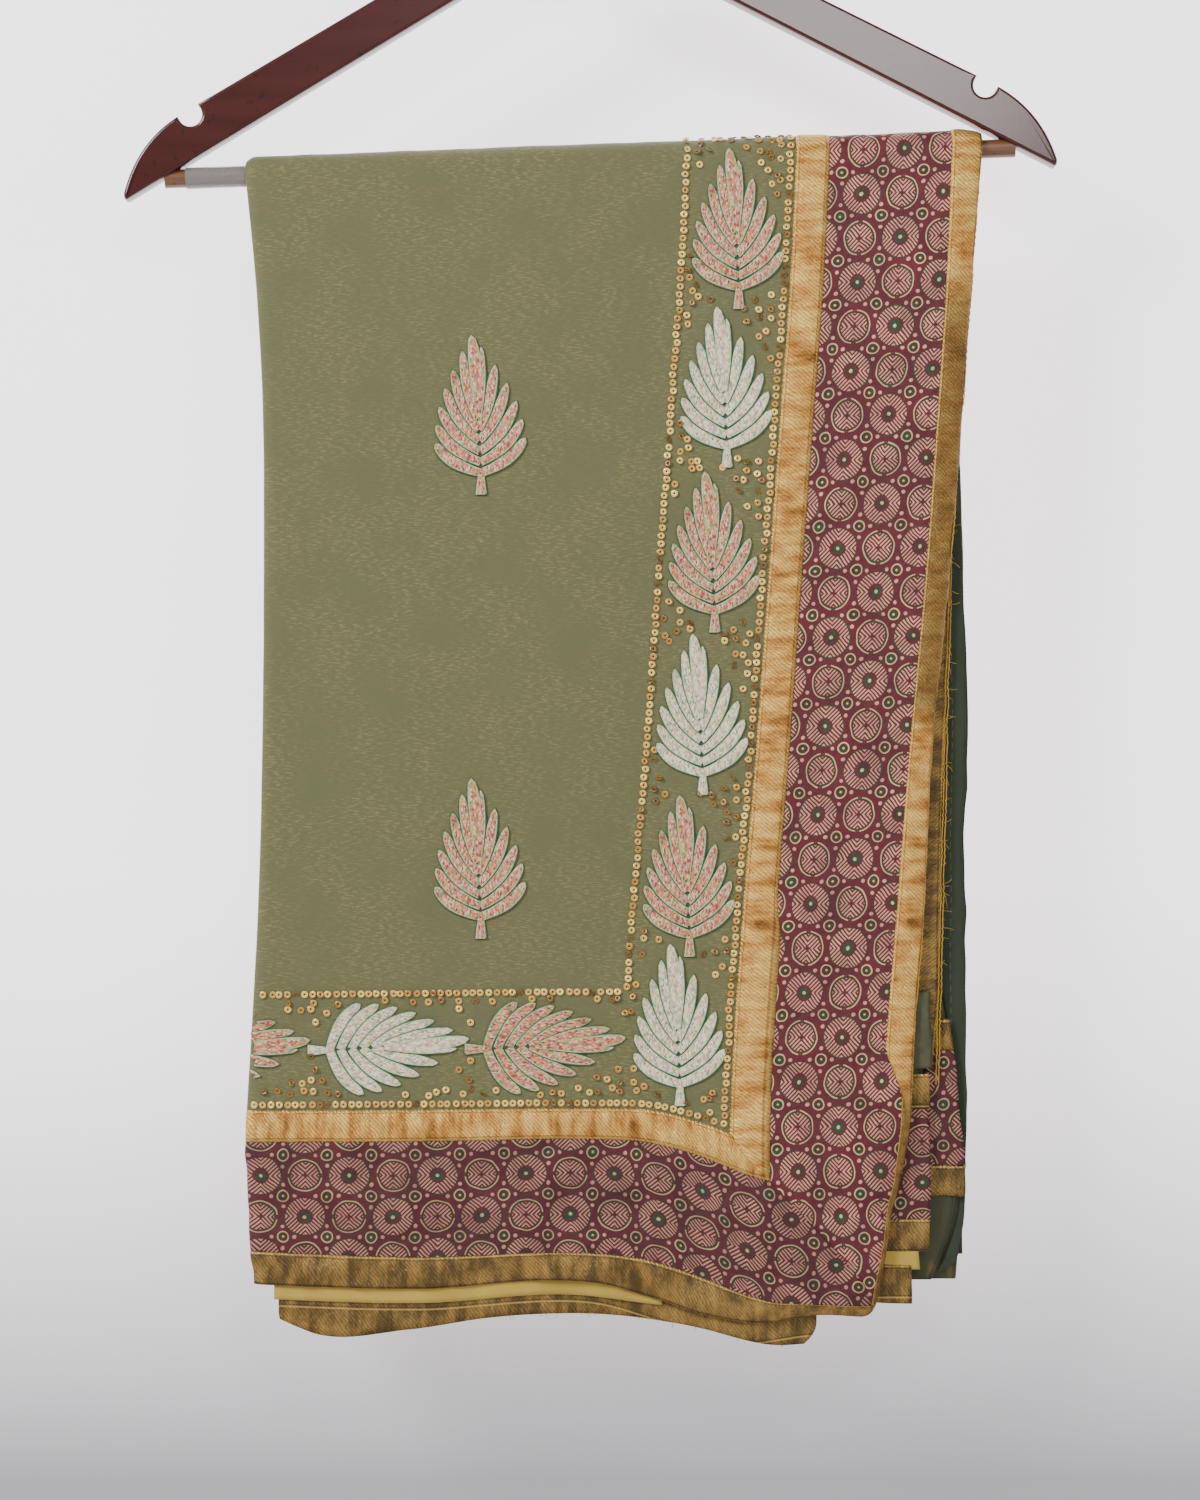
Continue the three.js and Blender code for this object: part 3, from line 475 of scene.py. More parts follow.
def crinkle(graph, place, fleck):
    """Crepe: short streaks that lie aslant, over a fine grain, with patches that fade in and out."""
    streaks = graph.noise(graph.turned(place, -38, (0.3, 1.5, 1)), 1.0, 2.5, 0.6)
    grain = graph.noise(place, 1.7, 2.0, 0.6)
    patch = graph.noise(place, 0.035, 2.0)
    bright = graph.both(graph.over(streaks, 0.58, 0.1), graph.over(patch, fleck, 0.25))
    return bright, graph.line(streaks, 0.7, graph.both(grain, 0.3)), patch


def twill(graph, place):
    """Fine aslant ribs with a broken shine, and cross creases at uneven distances."""
    across, lengthwise, _ = graph.axes(place)
    wander = graph.both(graph.noise(place, 0.11, 1.0), 3.0)
    slope = graph.line(lengthwise, 0.8, graph.line(across, -0.62, wander))
    ribs = graph.both(graph.math("PINGPONG", slope, 0.75), 1 / 0.75)
    creases = graph.noise(graph.turned(place, 4, (0.03, 0.22, 1)), 1.0, 2.5, 0.55)
    shine = graph.noise(graph.turned(place, 0, (0.05, 0.09, 1)), 1.0, 3.0, 0.6)
    return ribs, creases, shine


def stitching(graph, place, size):
    """Random short threads: stretched cells, each with its own number from 0 to 1."""
    tilted = graph.turned(place, 32, (1.6, 0.8, 1))
    colour = graph.cells(tilted, size)
    return graph.axes(colour)[0], graph.cells(tilted, size, "Distance")


effect("crepe", {"Place": "Vector", "Fleck": "Float"},
       {"Streak": "Float", "Height": "Float", "Patch": "Float"}, crinkle)
effect("twill_ribbon", {"Place": "Vector"}, {"Ribs": "Float", "Creases": "Float", "Shine": "Float"}, twill)
effect("thread_fill", {"Place": "Vector", "Size": "Float"}, {"Thread": "Float", "Edge": "Float"}, stitching)


def finish(name, build, **fixed):
    """A material: build links its changing sockets, and fixed sets sockets that are the same all over."""
    material = bpy.data.materials.new(name)
    material.use_nodes = True
    shader = material.node_tree.nodes["Principled BSDF"]
    for socket, value in fixed.items():
        shader.inputs[socket.replace("_", " ")].default_value = value
    graph = Graph(material.node_tree)
    for socket, value in build(graph).items():
        graph.join(value, shader.inputs[socket])
    return material


def olive_look(graph):
    place = graph.cut()
    streak, height, patch = graph.group("crepe", Place=place, Fleck=0.44)
    ground = graph.mix(patch, paint(106, 108, 74), paint(116, 112, 70))
    drift = graph.noise(place, 0.012, 2.0)
    ground = graph.mix(graph.both(drift, 0.5), ground, paint(100, 108, 74))
    colour = graph.mix(graph.both(streak, 0.5), ground, paint(160, 146, 92))
    # Low places of the crepe's grain are darkened: painted shade in its hollows.
    dark = graph.both(graph.under(height, 0.4, 0.1), 0.2)
    return {"Base Color": graph.mix(dark, colour, paint(90, 88, 56)), "Normal": graph.bump(height, 0.2, 0.5),
            "Roughness": graph.pick(streak, 0.8, 0.62)}


def rear_look(graph):
    place = graph.cut()
    _, height, patch = graph.group("crepe", Place=place, Fleck=0.5)
    across, lengthwise, _ = graph.axes(place)
    dash = graph.under(graph.math("PINGPONG", lengthwise, 2.6), 1.5, 0.3)
    line = graph.under(graph.apart(across, 7.0), 0.22, 0.2)
    # Ground: the rear layer's green, darkened by painted shade where it lies behind the top layer; the dashes
    # are its running stitch.
    ground = graph.mix(patch, paint(48, 56, 42), paint(62, 70, 54))
    return {"Base Color": graph.mix(graph.both(graph.both(dash, line), 0.4), ground, paint(116, 122, 92)),
            "Normal": graph.bump(height, 0.12, 0.4)}


PITCH_ACROSS, PITCH_ALONG, FIRST_ROW = 19.4, 20.85, 16.0


def brocade_look(graph, shade=0.8):
    """Round medallions of two kinds in turn, with small circles between them and four dots round each.

    Hatching follows the difference of the distances across and along, so it makes chevrons. Shade
    is the share of light that the cloth's lie leaves it.
    """
    # Every dye is scaled by the shade: painted shade for how the border lies.
    def dye(red, green, blue):
        return paint(red, green, blue, shade)

    place = graph.cut()
    across, lengthwise, _ = graph.axes(place)
    wobble = graph.less(graph.noise(place, 0.12, 1.0), 0.5)
    across = graph.line(wobble, 1.6, across)
    lengthwise = graph.line(wobble, -1.3, lengthwise)
    column = graph.line(across, 1 / PITCH_ACROSS, -FIRST_ROW / PITCH_ACROSS)
    row = graph.both(lengthwise, 1 / PITCH_ALONG)

    def offsets(shift, squeeze):
        a, b = graph.less(column, shift), graph.less(row, shift)
        near_a, near_b = graph.math("ROUND", a), graph.math("ROUND", b)
        side = graph.math("ABSOLUTE", graph.both(graph.less(a, near_a), PITCH_ACROSS))
        up = graph.math("ABSOLUTE", graph.both(graph.less(b, near_b), PITCH_ALONG / squeeze))
        return side, up, graph.sum(near_a, near_b)

    side, up, number = offsets(0.0, 1.08)
    odd = graph.math("FLOORED_MODULO", number, 2.0)
    radius, diamond = graph.long(side, up), graph.sum(side, up)
    hatch = graph.under(graph.math("PINGPONG", graph.less(side, up), 1.0), 0.5, 0.3)
    inner = graph.math("MAXIMUM", graph.both(radius, 1.1), graph.both(diamond, 0.8))
    hatched_a = graph.both(graph.under(radius, 8.7), graph.over(inner, 4.1))
    hatched_b = graph.both(graph.under(radius, 6.1), graph.over(diamond, 1.4))
    hatched = graph.both(graph.pick(odd, hatched_a, hatched_b), hatch)
    green_a = graph.sum(graph.under(radius, 2.7), graph.ring(radius, 8.8, 9.3), clamp=True)
    green_b = graph.ring(radius, 6.2, 6.9)
    gap = graph.under(graph.apart(side, 0.5), 0.5)
    ring_b = graph.both(graph.ring(radius, 7.0, 7.6), graph.flip(gap))
    dot_a = graph.under(radius, 0.85)
    side2, up2, _ = offsets(0.5, 1.0)
    small = graph.long(side2, up2)
    beside = graph.long(graph.less(side2, 5.2), up2)
    above = graph.long(side2, graph.less(up2, 5.4))
    dots = graph.under(graph.math("MINIMUM", beside, above), 0.95)
    ring_c = graph.ring(small, 2.25, 2.9)
    green = graph.sum(graph.pick(odd, green_a, green_b), graph.under(small, 2.1), clamp=True)
    woven = graph.sum(graph.pick(odd, dot_a, ring_b), ring_c)
    cream = graph.sum(woven, graph.under(small, 0.6), clamp=True)
    drift = graph.noise(place, 0.05, 1.0)
    thread = graph.cells(place, 1.1, "Distance")
    lively = graph.over(graph.noise(place, 0.07, 1.0), 0.56, 0.06)
    maroon = graph.mix(drift, dye(84, 12, 24), dye(122, 20, 42))
    colour = graph.mix(green, maroon, graph.mix(lively, dye(66, 52, 24), dye(32, 76, 38)))
    colour = graph.mix(hatched, colour, graph.mix(drift, dye(255, 204, 156), dye(250, 162, 152)))
    colour = graph.mix(dots, colour, dye(248, 180, 150))
    colour = graph.mix(cream, colour, dye(250, 218, 154))
    lie = graph.noise(place, 0.06, 3.0, 0.6)
    # Low places of the lie are darkened: painted shade in the puckers.
    colour = graph.mix(graph.both(graph.under(lie, 0.5, 0.3), 0.45), colour, dye(52, 16, 24))
    raised = graph.sum(graph.sum(hatched, cream), dots, clamp=True)
    height = graph.line(thread, 0.35, graph.line(lie, 9.0, raised))
    return {"Base Color": colour, "Normal": graph.bump(height, 0.3, 0.9),
            "Roughness": graph.pick(raised, 0.72, 0.42), "Metallic": graph.both(raised, 0.12)}


def gold_look(bright, mid, dark, edge_strength, streaks=1.1, shaded=None):
    """Metal-thread ribbon: bright, middle and dark of its painted shine, and painted highlights on its edges
    by the piece's map.

    Shaded gives places along the ribbon, in millimetres, and how far each is darkened by painted shade.
    """
    def build(graph):
        place = graph.cut()
        across, lengthwise, _ = graph.axes(place)
        ribs, creases, shine = graph.group("twill_ribbon", Place=place)
        fine = graph.noise(graph.turned(place, 38, (0.5, 1.5, 1)), 1.0, 2.0, 0.6)
        # Tone sets painted light: bright where the shine is high, painted shade along the creases, with the
        # fine grain and an offset added.
        grain_tone = graph.line(fine, 0.35, -0.26 - 0.5 * streaks)
        tone = graph.line(creases, streaks, graph.line(shine, 1.2, grain_tone))
        colour = graph.ramp(tone, [(0.1, dark), (0.4, mid), (0.74, bright)])
        # Grooves between the ribs are darkened: painted shade.
        colour = graph.mix(graph.both(graph.flip(ribs), 0.5), colour, dark)
        from_edge = graph.math("MINIMUM", across, graph.less(RIBBON_WIDTH, across))
        # A bright line at each edge is painted highlight, and a dark line just inside it is painted shade
        # where the edge folds down.
        lit_edge = graph.under(graph.apart(from_edge, 0.7), 0.35, 0.3)
        edge_fold_shade = graph.under(graph.apart(from_edge, 1.7), 0.3, 0.3)
        colour = graph.mix(graph.both(edge_fold_shade, 0.55), colour, dark)
        if shaded:
            # Painted shade along the ribbon, weaker where it shines.
            way = graph.line(lengthwise, 1 / 600, 0.5)
            shade_along = graph.ramp(way, [(0.5 + at / 600, (*[amount] * 3, 1)) for at, amount in shaded])
            colour = graph.mix(graph.both(shade_along, graph.pick(shine, 1.0, 0.75)), colour, paint(112, 86, 40))
        colour = graph.mix(graph.both(lit_edge, edge_strength), colour, paint(250, 206, 110))
        weave = graph.line(ribs, 0.4, graph.both(fine, 1.6))
        height = graph.line(creases, 2.4, weave)
        return {"Base Color": colour, "Normal": graph.bump(height, 0.5, 0.85),
                "Roughness": graph.pick(shine, 0.3, 0.46)}
    return build


def lining_look(graph):
    place = graph.solid()
    soft = graph.noise(place, 60.0, 3.0)
    height = graph.noise(graph.turned(place, 0, (400, 400, 90)), 1.0, 2.0)
    return {"Base Color": graph.mix(soft, paint(170, 138, 40), paint(222, 188, 78)),
            "Normal": graph.bump(height, 0.3, 0.5)}


def leaf_look(ground, flecks, share):
    """Dense short stitches in mixed threads, with a mint thread round each lobe."""
    def build(graph):
        place = graph.cut()
        across = graph.axes(graph.node("ShaderNodeAttribute", attribute_name="lobe").outputs["Vector"])[0]
        thread, edge = graph.group("thread_fill", Place=place, Size=0.95)
        dyes = [(k / len(flecks), paint(*dye, share)) for k, dye in enumerate(flecks)]
        colour = graph.ramp(thread, dyes, step=True)
        colour = graph.mix(0.08, colour, paint(*ground))
        rim = graph.over(across, 0.64, 0.12)
        outer = graph.over(across, 0.82, 0.06)
        spaced = graph.under(edge, 0.5, 0.3)
        bound = graph.both(rim, graph.pick(spaced, 0.35, 0.95))
        colour = graph.mix(bound, colour, paint(156, 214, 150, 0.9))
        colour = graph.mix(graph.both(outer, 0.95), colour, paint(32, 74, 46))
        height = graph.flip(edge)
        return {"Base Color": colour, "Normal": graph.bump(height, 0.3, 0.8)}
    return build


def sequin_look(graph):
    place = graph.cut()
    tone, outwards, _ = graph.axes(place)
    wear = graph.noise(graph.solid(), 900.0, 2.0)
    # Low tones are painted shade, for sequins that lean away from the light; the rest run up to bright gold.
    colour = graph.ramp(tone, [(0.0, paint(92, 56, 20)), (0.25, paint(160, 108, 36)),
                               (0.5, paint(228, 172, 72)), (1.0, paint(255, 220, 116, 0.95))])
    colour = graph.mix(graph.both(wear, 0.25), colour, paint(255, 214, 130))
    # The rim round the hole and the outer rim are darkened: painted shade.
    edge = graph.sum(graph.under(outwards, 0.2, 0.2), graph.over(outwards, 0.9, 0.2), clamp=True)
    return {"Base Color": graph.mix(graph.both(edge, 0.65), colour, paint(110, 66, 20)),
            "Roughness": graph.pick(wear, 0.22, 0.42)}


def thread_look(colour, other):
    def build(graph):
        uneven = graph.noise(graph.solid(), 300.0, 2.0)
        return {"Base Color": graph.mix(uneven, paint(*colour), paint(*other))}
    return build


def layers_look(graph):
    """Edges of the folded layers: dark lines of painted shade where one layer meets the next, by the piece's
    map, over dark cloth that also carries painted shade.
    """
    place = graph.cut()
    across, lengthwise, _ = graph.axes(place)
    _, height, patch = graph.group("crepe", Place=place, Fleck=0.5)
    line = graph.under(graph.math("PINGPONG", across, 0.5), 0.12, 0.12)
    gold = graph.over(graph.noise(graph.turned(place, 0, (1.0, 0.02, 1)), 1.0, 1.0), 0.6, 0.05)
    colour = graph.mix(patch, paint(54, 62, 44), paint(92, 92, 62))
    colour = graph.mix(graph.both(gold, 0.7), colour, paint(150, 120, 62))
    return {"Base Color": graph.mix(graph.both(line, 0.7), colour, paint(28, 32, 24)),
            "Normal": graph.bump(height, 0.2, 0.4)}


def wood_look(dark, light, grain_scale):
    def build(graph):
        place = graph.solid()
        grain = graph.noise(graph.turned(place, 0, (14, 120, 120)), grain_scale, 4.0, 0.6)
        pores = graph.noise(graph.turned(place, 0, (60, 900, 900)), 1.0, 2.0)
        specks = graph.over(graph.noise(place, 260.0, 1.0), 0.7, 0.04)
        colour = graph.mix(grain, paint(*dark), paint(*light))
        colour = graph.mix(graph.both(specks, 0.6), colour, paint(38, 14, 10))
        return {"Base Color": colour, "Roughness": graph.pick(grain, 0.28, 0.4),
                "Normal": graph.bump(pores, 0.06, 0.35)}
    return build


def steel_look(graph):
    wear = graph.noise(graph.turned(graph.solid(), 0, (400, 400, 60)), 1.0, 3.0)
    return {"Base Color": graph.mix(wear, paint(176, 177, 182), paint(222, 223, 226)),
            "Roughness": graph.pick(wear, 0.16, 0.34)}


def sleeve_look(graph):
    ribs = graph.axes(graph.turned(graph.solid(), 0, (900, 1, 1)))[0]
    wave = graph.math("SINE", ribs)
    return {"Normal": graph.bump(wave, 0.15, 0.6),
            "Roughness": graph.pick(graph.noise(graph.solid(), 150.0), 0.12, 0.3)}


PINK_THREADS = [(236, 150, 122), (190, 76, 66), (250, 210, 160), (214, 124, 66), (244, 176, 150),
                (150, 52, 58), (255, 232, 196), (140, 160, 110), (222, 134, 112), (240, 180, 84)]
WHITE_THREADS = [(255, 240, 208), (192, 182, 158), (255, 248, 222), (236, 176, 156), (240, 214, 130),
                 (164, 180, 150), (255, 242, 214), (216, 196, 186), (140, 148, 116), (250, 226, 178)]
OLIVE = finish("olive_crepe", olive_look, Sheen_Weight=0.25, Sheen_Roughness=0.5, Specular_IOR_Level=0.3)
REAR = finish("dark_crepe", rear_look, Roughness=0.85, Sheen_Weight=0.15, Specular_IOR_Level=0.25)
BROCADE = finish("maroon_brocade", brocade_look, Sheen_Weight=0.1)
SHADED_BROCADE = finish("shaded_brocade", lambda graph: brocade_look(graph, 0.55), Sheen_Weight=0.08)
BRIGHT_GOLD, MID_GOLD, DARK_GOLD = paint(255, 208, 110, 1.1), paint(230, 160, 72, 0.9), paint(118, 78, 30)
GOLD = finish("gold_ribbon", gold_look(BRIGHT_GOLD, MID_GOLD, DARK_GOLD, 0.75), Metallic=0.6)
# The open end's outer ribbon, with painted shade along stretches of it.
EDGE_GOLD = finish("edge_gold_ribbon", gold_look(
    BRIGHT_GOLD, MID_GOLD, DARK_GOLD, 0.75,
    shaded=[(-175, 0.0), (-150, 0.85), (30, 0.85), (48, 0.0), (208, 0.0), (222, 0.9)]), Metallic=0.6)
# A darker copy of the gold: painted shade for the hem ribbons and the ribbons of the hidden layers.
SHADED_GOLD = finish("shaded_gold_ribbon", gold_look(
    paint(200, 156, 76), paint(112, 88, 42), paint(70, 54, 24), 0.5, 0.6), Metallic=0.45)
LINING = finish("yellow_lining", lining_look, Roughness=0.7, Sheen_Weight=0.3)
PINK = finish("pink_embroidery", leaf_look((226, 158, 128), PINK_THREADS, 0.72),
              Roughness=0.5, Sheen_Weight=0.1)
WHITE = finish("white_embroidery", leaf_look((246, 234, 206), WHITE_THREADS, 0.86),
               Roughness=0.48, Sheen_Weight=0.1)
SEQUIN = finish("gold_sequins", sequin_look, Metallic=0.3)
YELLOW_THREAD = finish("yellow_thread", thread_look((214, 168, 50), (140, 100, 24)), Roughness=0.6)
GAUZE = finish("worn_gauze", thread_look((96, 94, 60), (52, 58, 38)), Roughness=0.7)
LAYERS = finish("layered_edges", layers_look, Roughness=0.85)
WOOD = finish("red_brown_varnish", wood_look((52, 13, 9), (86, 26, 18), 1.0),
              Coat_Weight=0.6, Coat_Roughness=0.16, Specular_IOR_Level=0.2)
DOWEL = finish("brown_dowel", wood_look((96, 58, 36), (142, 96, 62), 1.4),
               Coat_Weight=0.3, Coat_Roughness=0.3)
STEEL = finish("plated_wire", steel_look, Metallic=1.0)
SLEEVE = finish("clear_sleeve", sleeve_look,
                Base_Color=paint(226, 220, 214), Transmission_Weight=0.75, IOR=1.45)


# Camera, walls and light

def stage_sheet(name, corners, low, high, glow):
    """A flat sheet whose painted shade runs with height, which glows as painted light, and which lets light
    and sight through from behind.
    """
    mesh = bpy.data.meshes.new(name)
    mesh.from_pydata(corners, [], [(0, 1, 2, 3)])
    material = bpy.data.materials.new(name)
    material.use_nodes = True
    graph = Graph(material.node_tree)
    shader = material.node_tree.nodes["Principled BSDF"]
    shader.inputs["Roughness"].default_value = 0.9
    shader.inputs["Specular IOR Level"].default_value = 0.1
    height = graph.axes(graph.solid())[2]
    # Darker towards the foot: painted shade of light falling off down the wall.
    level = graph.line(height, 1 / 0.72, 0.86 / 0.72, clamp=True)
    graph.join(graph.ramp(level, [(0.0, low), (0.3, high), (1.0, high)]), shader.inputs["Base Color"])
    clear, mixer = graph.node("ShaderNodeBsdfTransparent"), graph.node("ShaderNodeMixShader")
    facing = graph.node("ShaderNodeNewGeometry").outputs["Backfacing"]
    for value, socket in ((facing, 0), (shader.outputs[0], 1), (clear.outputs[0], 2)):
        graph.join(value, mixer.inputs[socket])
    graph.join(mixer.outputs[0], material.node_tree.nodes["Material Output"].inputs["Surface"])
    # The sheet glows, darker towards its foot: painted light on the wall.
    graph.join(graph.ramp(level, [(0.0, low), (0.42, high), (1.0, high)]), shader.inputs["Emission Color"])
    shader.inputs["Emission Strength"].default_value = glow
    mesh.materials.append(material)
    obj = bpy.data.objects.new(name, mesh)
    bpy.context.scene.collection.objects.link(obj)


def lamp(name, at, target, size, power, colour=(1, 1, 1)):
    """A rectangular soft light aimed at a point."""
    data = bpy.data.lights.new(name, "AREA")
    data.shape, data.size, data.size_y = "RECTANGLE", size[0], size[1]
    data.energy, data.color = power, colour
    obj = bpy.data.objects.new(name, data)
    aim = np.array(target, float) - np.array(at, float)
    obj.location = at
    tip = math.atan2(math.hypot(aim[0], aim[1]), -aim[2])
    obj.rotation_euler = (tip, 0, math.atan2(aim[1], aim[0]) - math.pi / 2)
    bpy.context.scene.collection.objects.link(obj)


def set_stage():
    """Camera square to the hanging cloth, pale wall and floor, a broad key and softer fills; the wall glows
    as painted light.
    """
    data = bpy.data.cameras.new("camera")
    data.lens, data.sensor_width = 77.87, 36
    camera = bpy.data.objects.new("camera", data)
    camera.location = (0.01264, -1.55, -0.49396)
    camera.rotation_euler = (math.pi / 2, 0, 0)
    bpy.context.scene.collection.objects.link(camera)
    bpy.context.scene.camera = camera
    wall, half, low, high, deep = 0.075, 1.5, -1.15, 0.7, 3
    stage_sheet("wall", [(-half, wall, low), (half, wall, low), (half, wall, high), (-half, wall, high)],
                paint(136, 135, 138), paint(252, 246, 252, 1.0), 1.75)
    stage_sheet("floor", [(-half, -deep, low), (half, -deep, low), (half, deep, low), (-half, deep, low)],
                paint(224, 222, 222), paint(224, 222, 222), 0.0)
    lamp("key", (-1.6, -1.6, 0.8), (0, 0, -0.42), (0.8, 0.9), 66)
    lamp("fill", (1.3, -2.1, -0.3), (0, 0, -0.5), (1.0, 1.2), 12)
    lamp("arm_glare", (0.245, -1.62, 0.24), (0.12, 0, -0.13), (0.42, 0.34), 8.0)
    lamp("rear_soft", (-0.5, 2.0, 0.4), (0, 0, -0.45), (1.6, 1.4), 12)
    world = bpy.data.worlds.new("world")
    world.use_nodes = True
    world.node_tree.nodes["Background"].inputs[0].default_value = (0.93, 0.92, 0.94, 1)
    world.node_tree.nodes["Background"].inputs[1].default_value = 0.3
    bpy.context.scene.world = world


# The top layer

FIELD_FINE, ROW_FINE, CREST_FINE = 6, 8, 2
BROCADE_LIFT, RIBBON_LIFT, LEAF_LIFT = 1.25, 1.5, 1.35
EDGING_WIDTH = 15
MEDALLION_START = {"end": 229.15, "hem": 113.5}            # a medallion's middle, along each border
BAND_CUT = {"end": 1.05, "hem_front": 0.31, "hem_back": 0.31}    # length of each flat cut in metres


def row_stops(first):
    """Fine lattice rows from one hem to the other, starting at a band row."""
    whole = np.arange(first, ROWS - first + 1)
    middle = (whole[:-1] + whole[1:]) / 2
    on_crest = (middle > SIDE_ROWS) & (middle < ROWS - SIDE_ROWS)
    in_band = (middle < BAND) | (middle > ROWS - BAND)
    return fine(whole, np.where(on_crest, CREST_FINE, np.where(in_band, 5, ROW_FINE)))


def body_cloth():
    """The olive field: the lattice from the left fold to under the inner ribbons."""
    columns = fine(list(range(0, 14)), [2, 2] + [FIELD_FINE] * 10 + [3])
    column, row = np.meshgrid(columns, row_stops(5), indexing="ij")
    x, q = lattice(column, row)
    hidden = np.maximum(x - line_down("field", q), drop_of(q) - line_across("field", x, q))
    points = drape(x, q, 1.3 - 0.9 * smooth(hidden / 3))
    obj = cloth("olive_body", points, np.stack([x, q], -1), OLIVE, "olive_cloth", "body_cloth", thick=0.6)


def band_place(part, depth, share):
    """Lattice place in a border: depth cells in from the edge, share of the way between its mitres.

    At the front's open corner the edge turns under, and the outer lines draw closer to it.
    """
    turned = {"end": 0.62 * smooth((6.9 - ROWS * share) / 0.8), "hem_front": 0.62, "hem_back": 0.0}[part]
    across = between([0, 1, 5, 6], [0, 1 - turned, 5, 6 + 0 * depth], depth)
    if part == "end":
        return COLUMN_COUNT - across, depth + (ROWS - 2 * depth) * share
    return (COLUMN_COUNT - across) * share, depth if part == "hem_front" else ROWS - depth


def band_map(part, x, q):
    """Millimetres across the border from the body side of its brocade, and along it."""
    if part == "end":
        across = x - line_down("field", q) - RIBBON_WIDTH
        return np.stack([across, q - CREST_HALF - MEDALLION_START["end"]], -1)
    across = drop_of(q) - line_across("inner", x, q)
    return np.stack([across, x + MEDALLION_START["hem"]], -1)


def band_shares(part):
    """Even steps along a border, closer at its fold end, or the lattice's own rows for the open end."""
    return row_stops(0) / ROWS if part == "end" else fine([0, 1 / 18, 2 / 18, 1], [2, 2, 110])


def facing(part):
    """Outward direction at a quarter of the border's length."""
    return (0, 1, 0) if part == "hem_back" else (0, -1, 0)


def creases(across, lengthwise, seed):
    """Cross creases of a gathered ribbon: sharp valleys at uneven distances, and finer ones between."""
    fold = np.abs(ripple(across, lengthwise, 26, 7.5, seed)) ** 0.7
    small = np.abs(ripple(across, lengthwise, 12, 3.1, seed + 40))
    return 0.55 * fold + 0.22 * small


def node_of(part, kind):
    """Name of a border's stretch in the solids: end or hem first, front or back last."""
    first, _, last = part.partition("_")
    return f"{first}_{kind}" + (last and "_" + last)


def ribbon(part, side, depths, width, material, seed):
    """A ribbon along a border: a puffed strip with stitched-down edges and cross creases."""
    share, w = np.meshgrid(band_shares(part), np.linspace(0, 1, 9), indexing="ij")
    x, q = lattice(*band_place(part, depths[0] + (depths[1] - depths[0]) * w, share))
    lengthwise = band_map(part, x, q)[..., 1]
    puff = np.sin(np.pi * np.clip(w, 0, 1)) ** 0.5
    lift = RIBBON_LIFT + puff * (0.25 + creases(w * width, lengthwise, seed))
    obj = cloth(f"{part}_{side}_gold", drape(x, q, lift), np.stack([w * width, lengthwise], -1), material,
                "gold_ribbon", node_of(part, side + "_ribbon"), thick=0.35, out=facing(part))


def borders():
    """Brocade and its two ribbons along the open end and both hems, mitred where they meet."""
    for part in BAND_CUT:
        depths = fine([0, 1, 2, 3, 4, 5], [4, 7, 7, 7, 3])
        share, depth = np.meshgrid(band_shares(part), depths, indexing="ij")
        x, q = lattice(*band_place(part, depth, share))
        woven, edging = (BROCADE, EDGE_GOLD) if part == "end" else (SHADED_BROCADE, SHADED_GOLD)
        obj = cloth(part + "_medallion_brocade", drape(x, q, BROCADE_LIFT), band_map(part, x, q), woven,
                    "brocade", node_of(part, "brocade"), out=facing(part))
        ribbon(part, "inner", (6, 4), RIBBON_WIDTH, GOLD, 11)
        ribbon(part, "outer", (1, 0), EDGING_WIDTH, edging, 23)


# Hidden layers that show at the edges and below the hem

# Bundles from the bar outwards, last first: share of the stack, inset at the left fold, layers.
BUNDLE_LAYERS = [("fourth", 0.68, 1.0, 3.6, 5), ("third", 0.45, 0.68, 6.5, 4), ("second", 0.25, 0.45, 4.5, 3),
                 ("first", 0.0, 0.25, 7.5, 3)]
LAYER_PROFILE = ((0.06, 0.75), (0.5, 0.0), (0.94, 0.75))    # place through a layer, and how far it draws in
STACK_ENDS = {1: ([532, 524, 516, 511], 500), -1: ([521, 514, 507, 502], 492)}    # lowest rows, next row
THINNED = {"front": 515, "back": 505, "share": 0.72}
STACK_TOP, STACK_ROWS, CREST_STEPS, FACE_STEPS = 12, 50, 13, 12

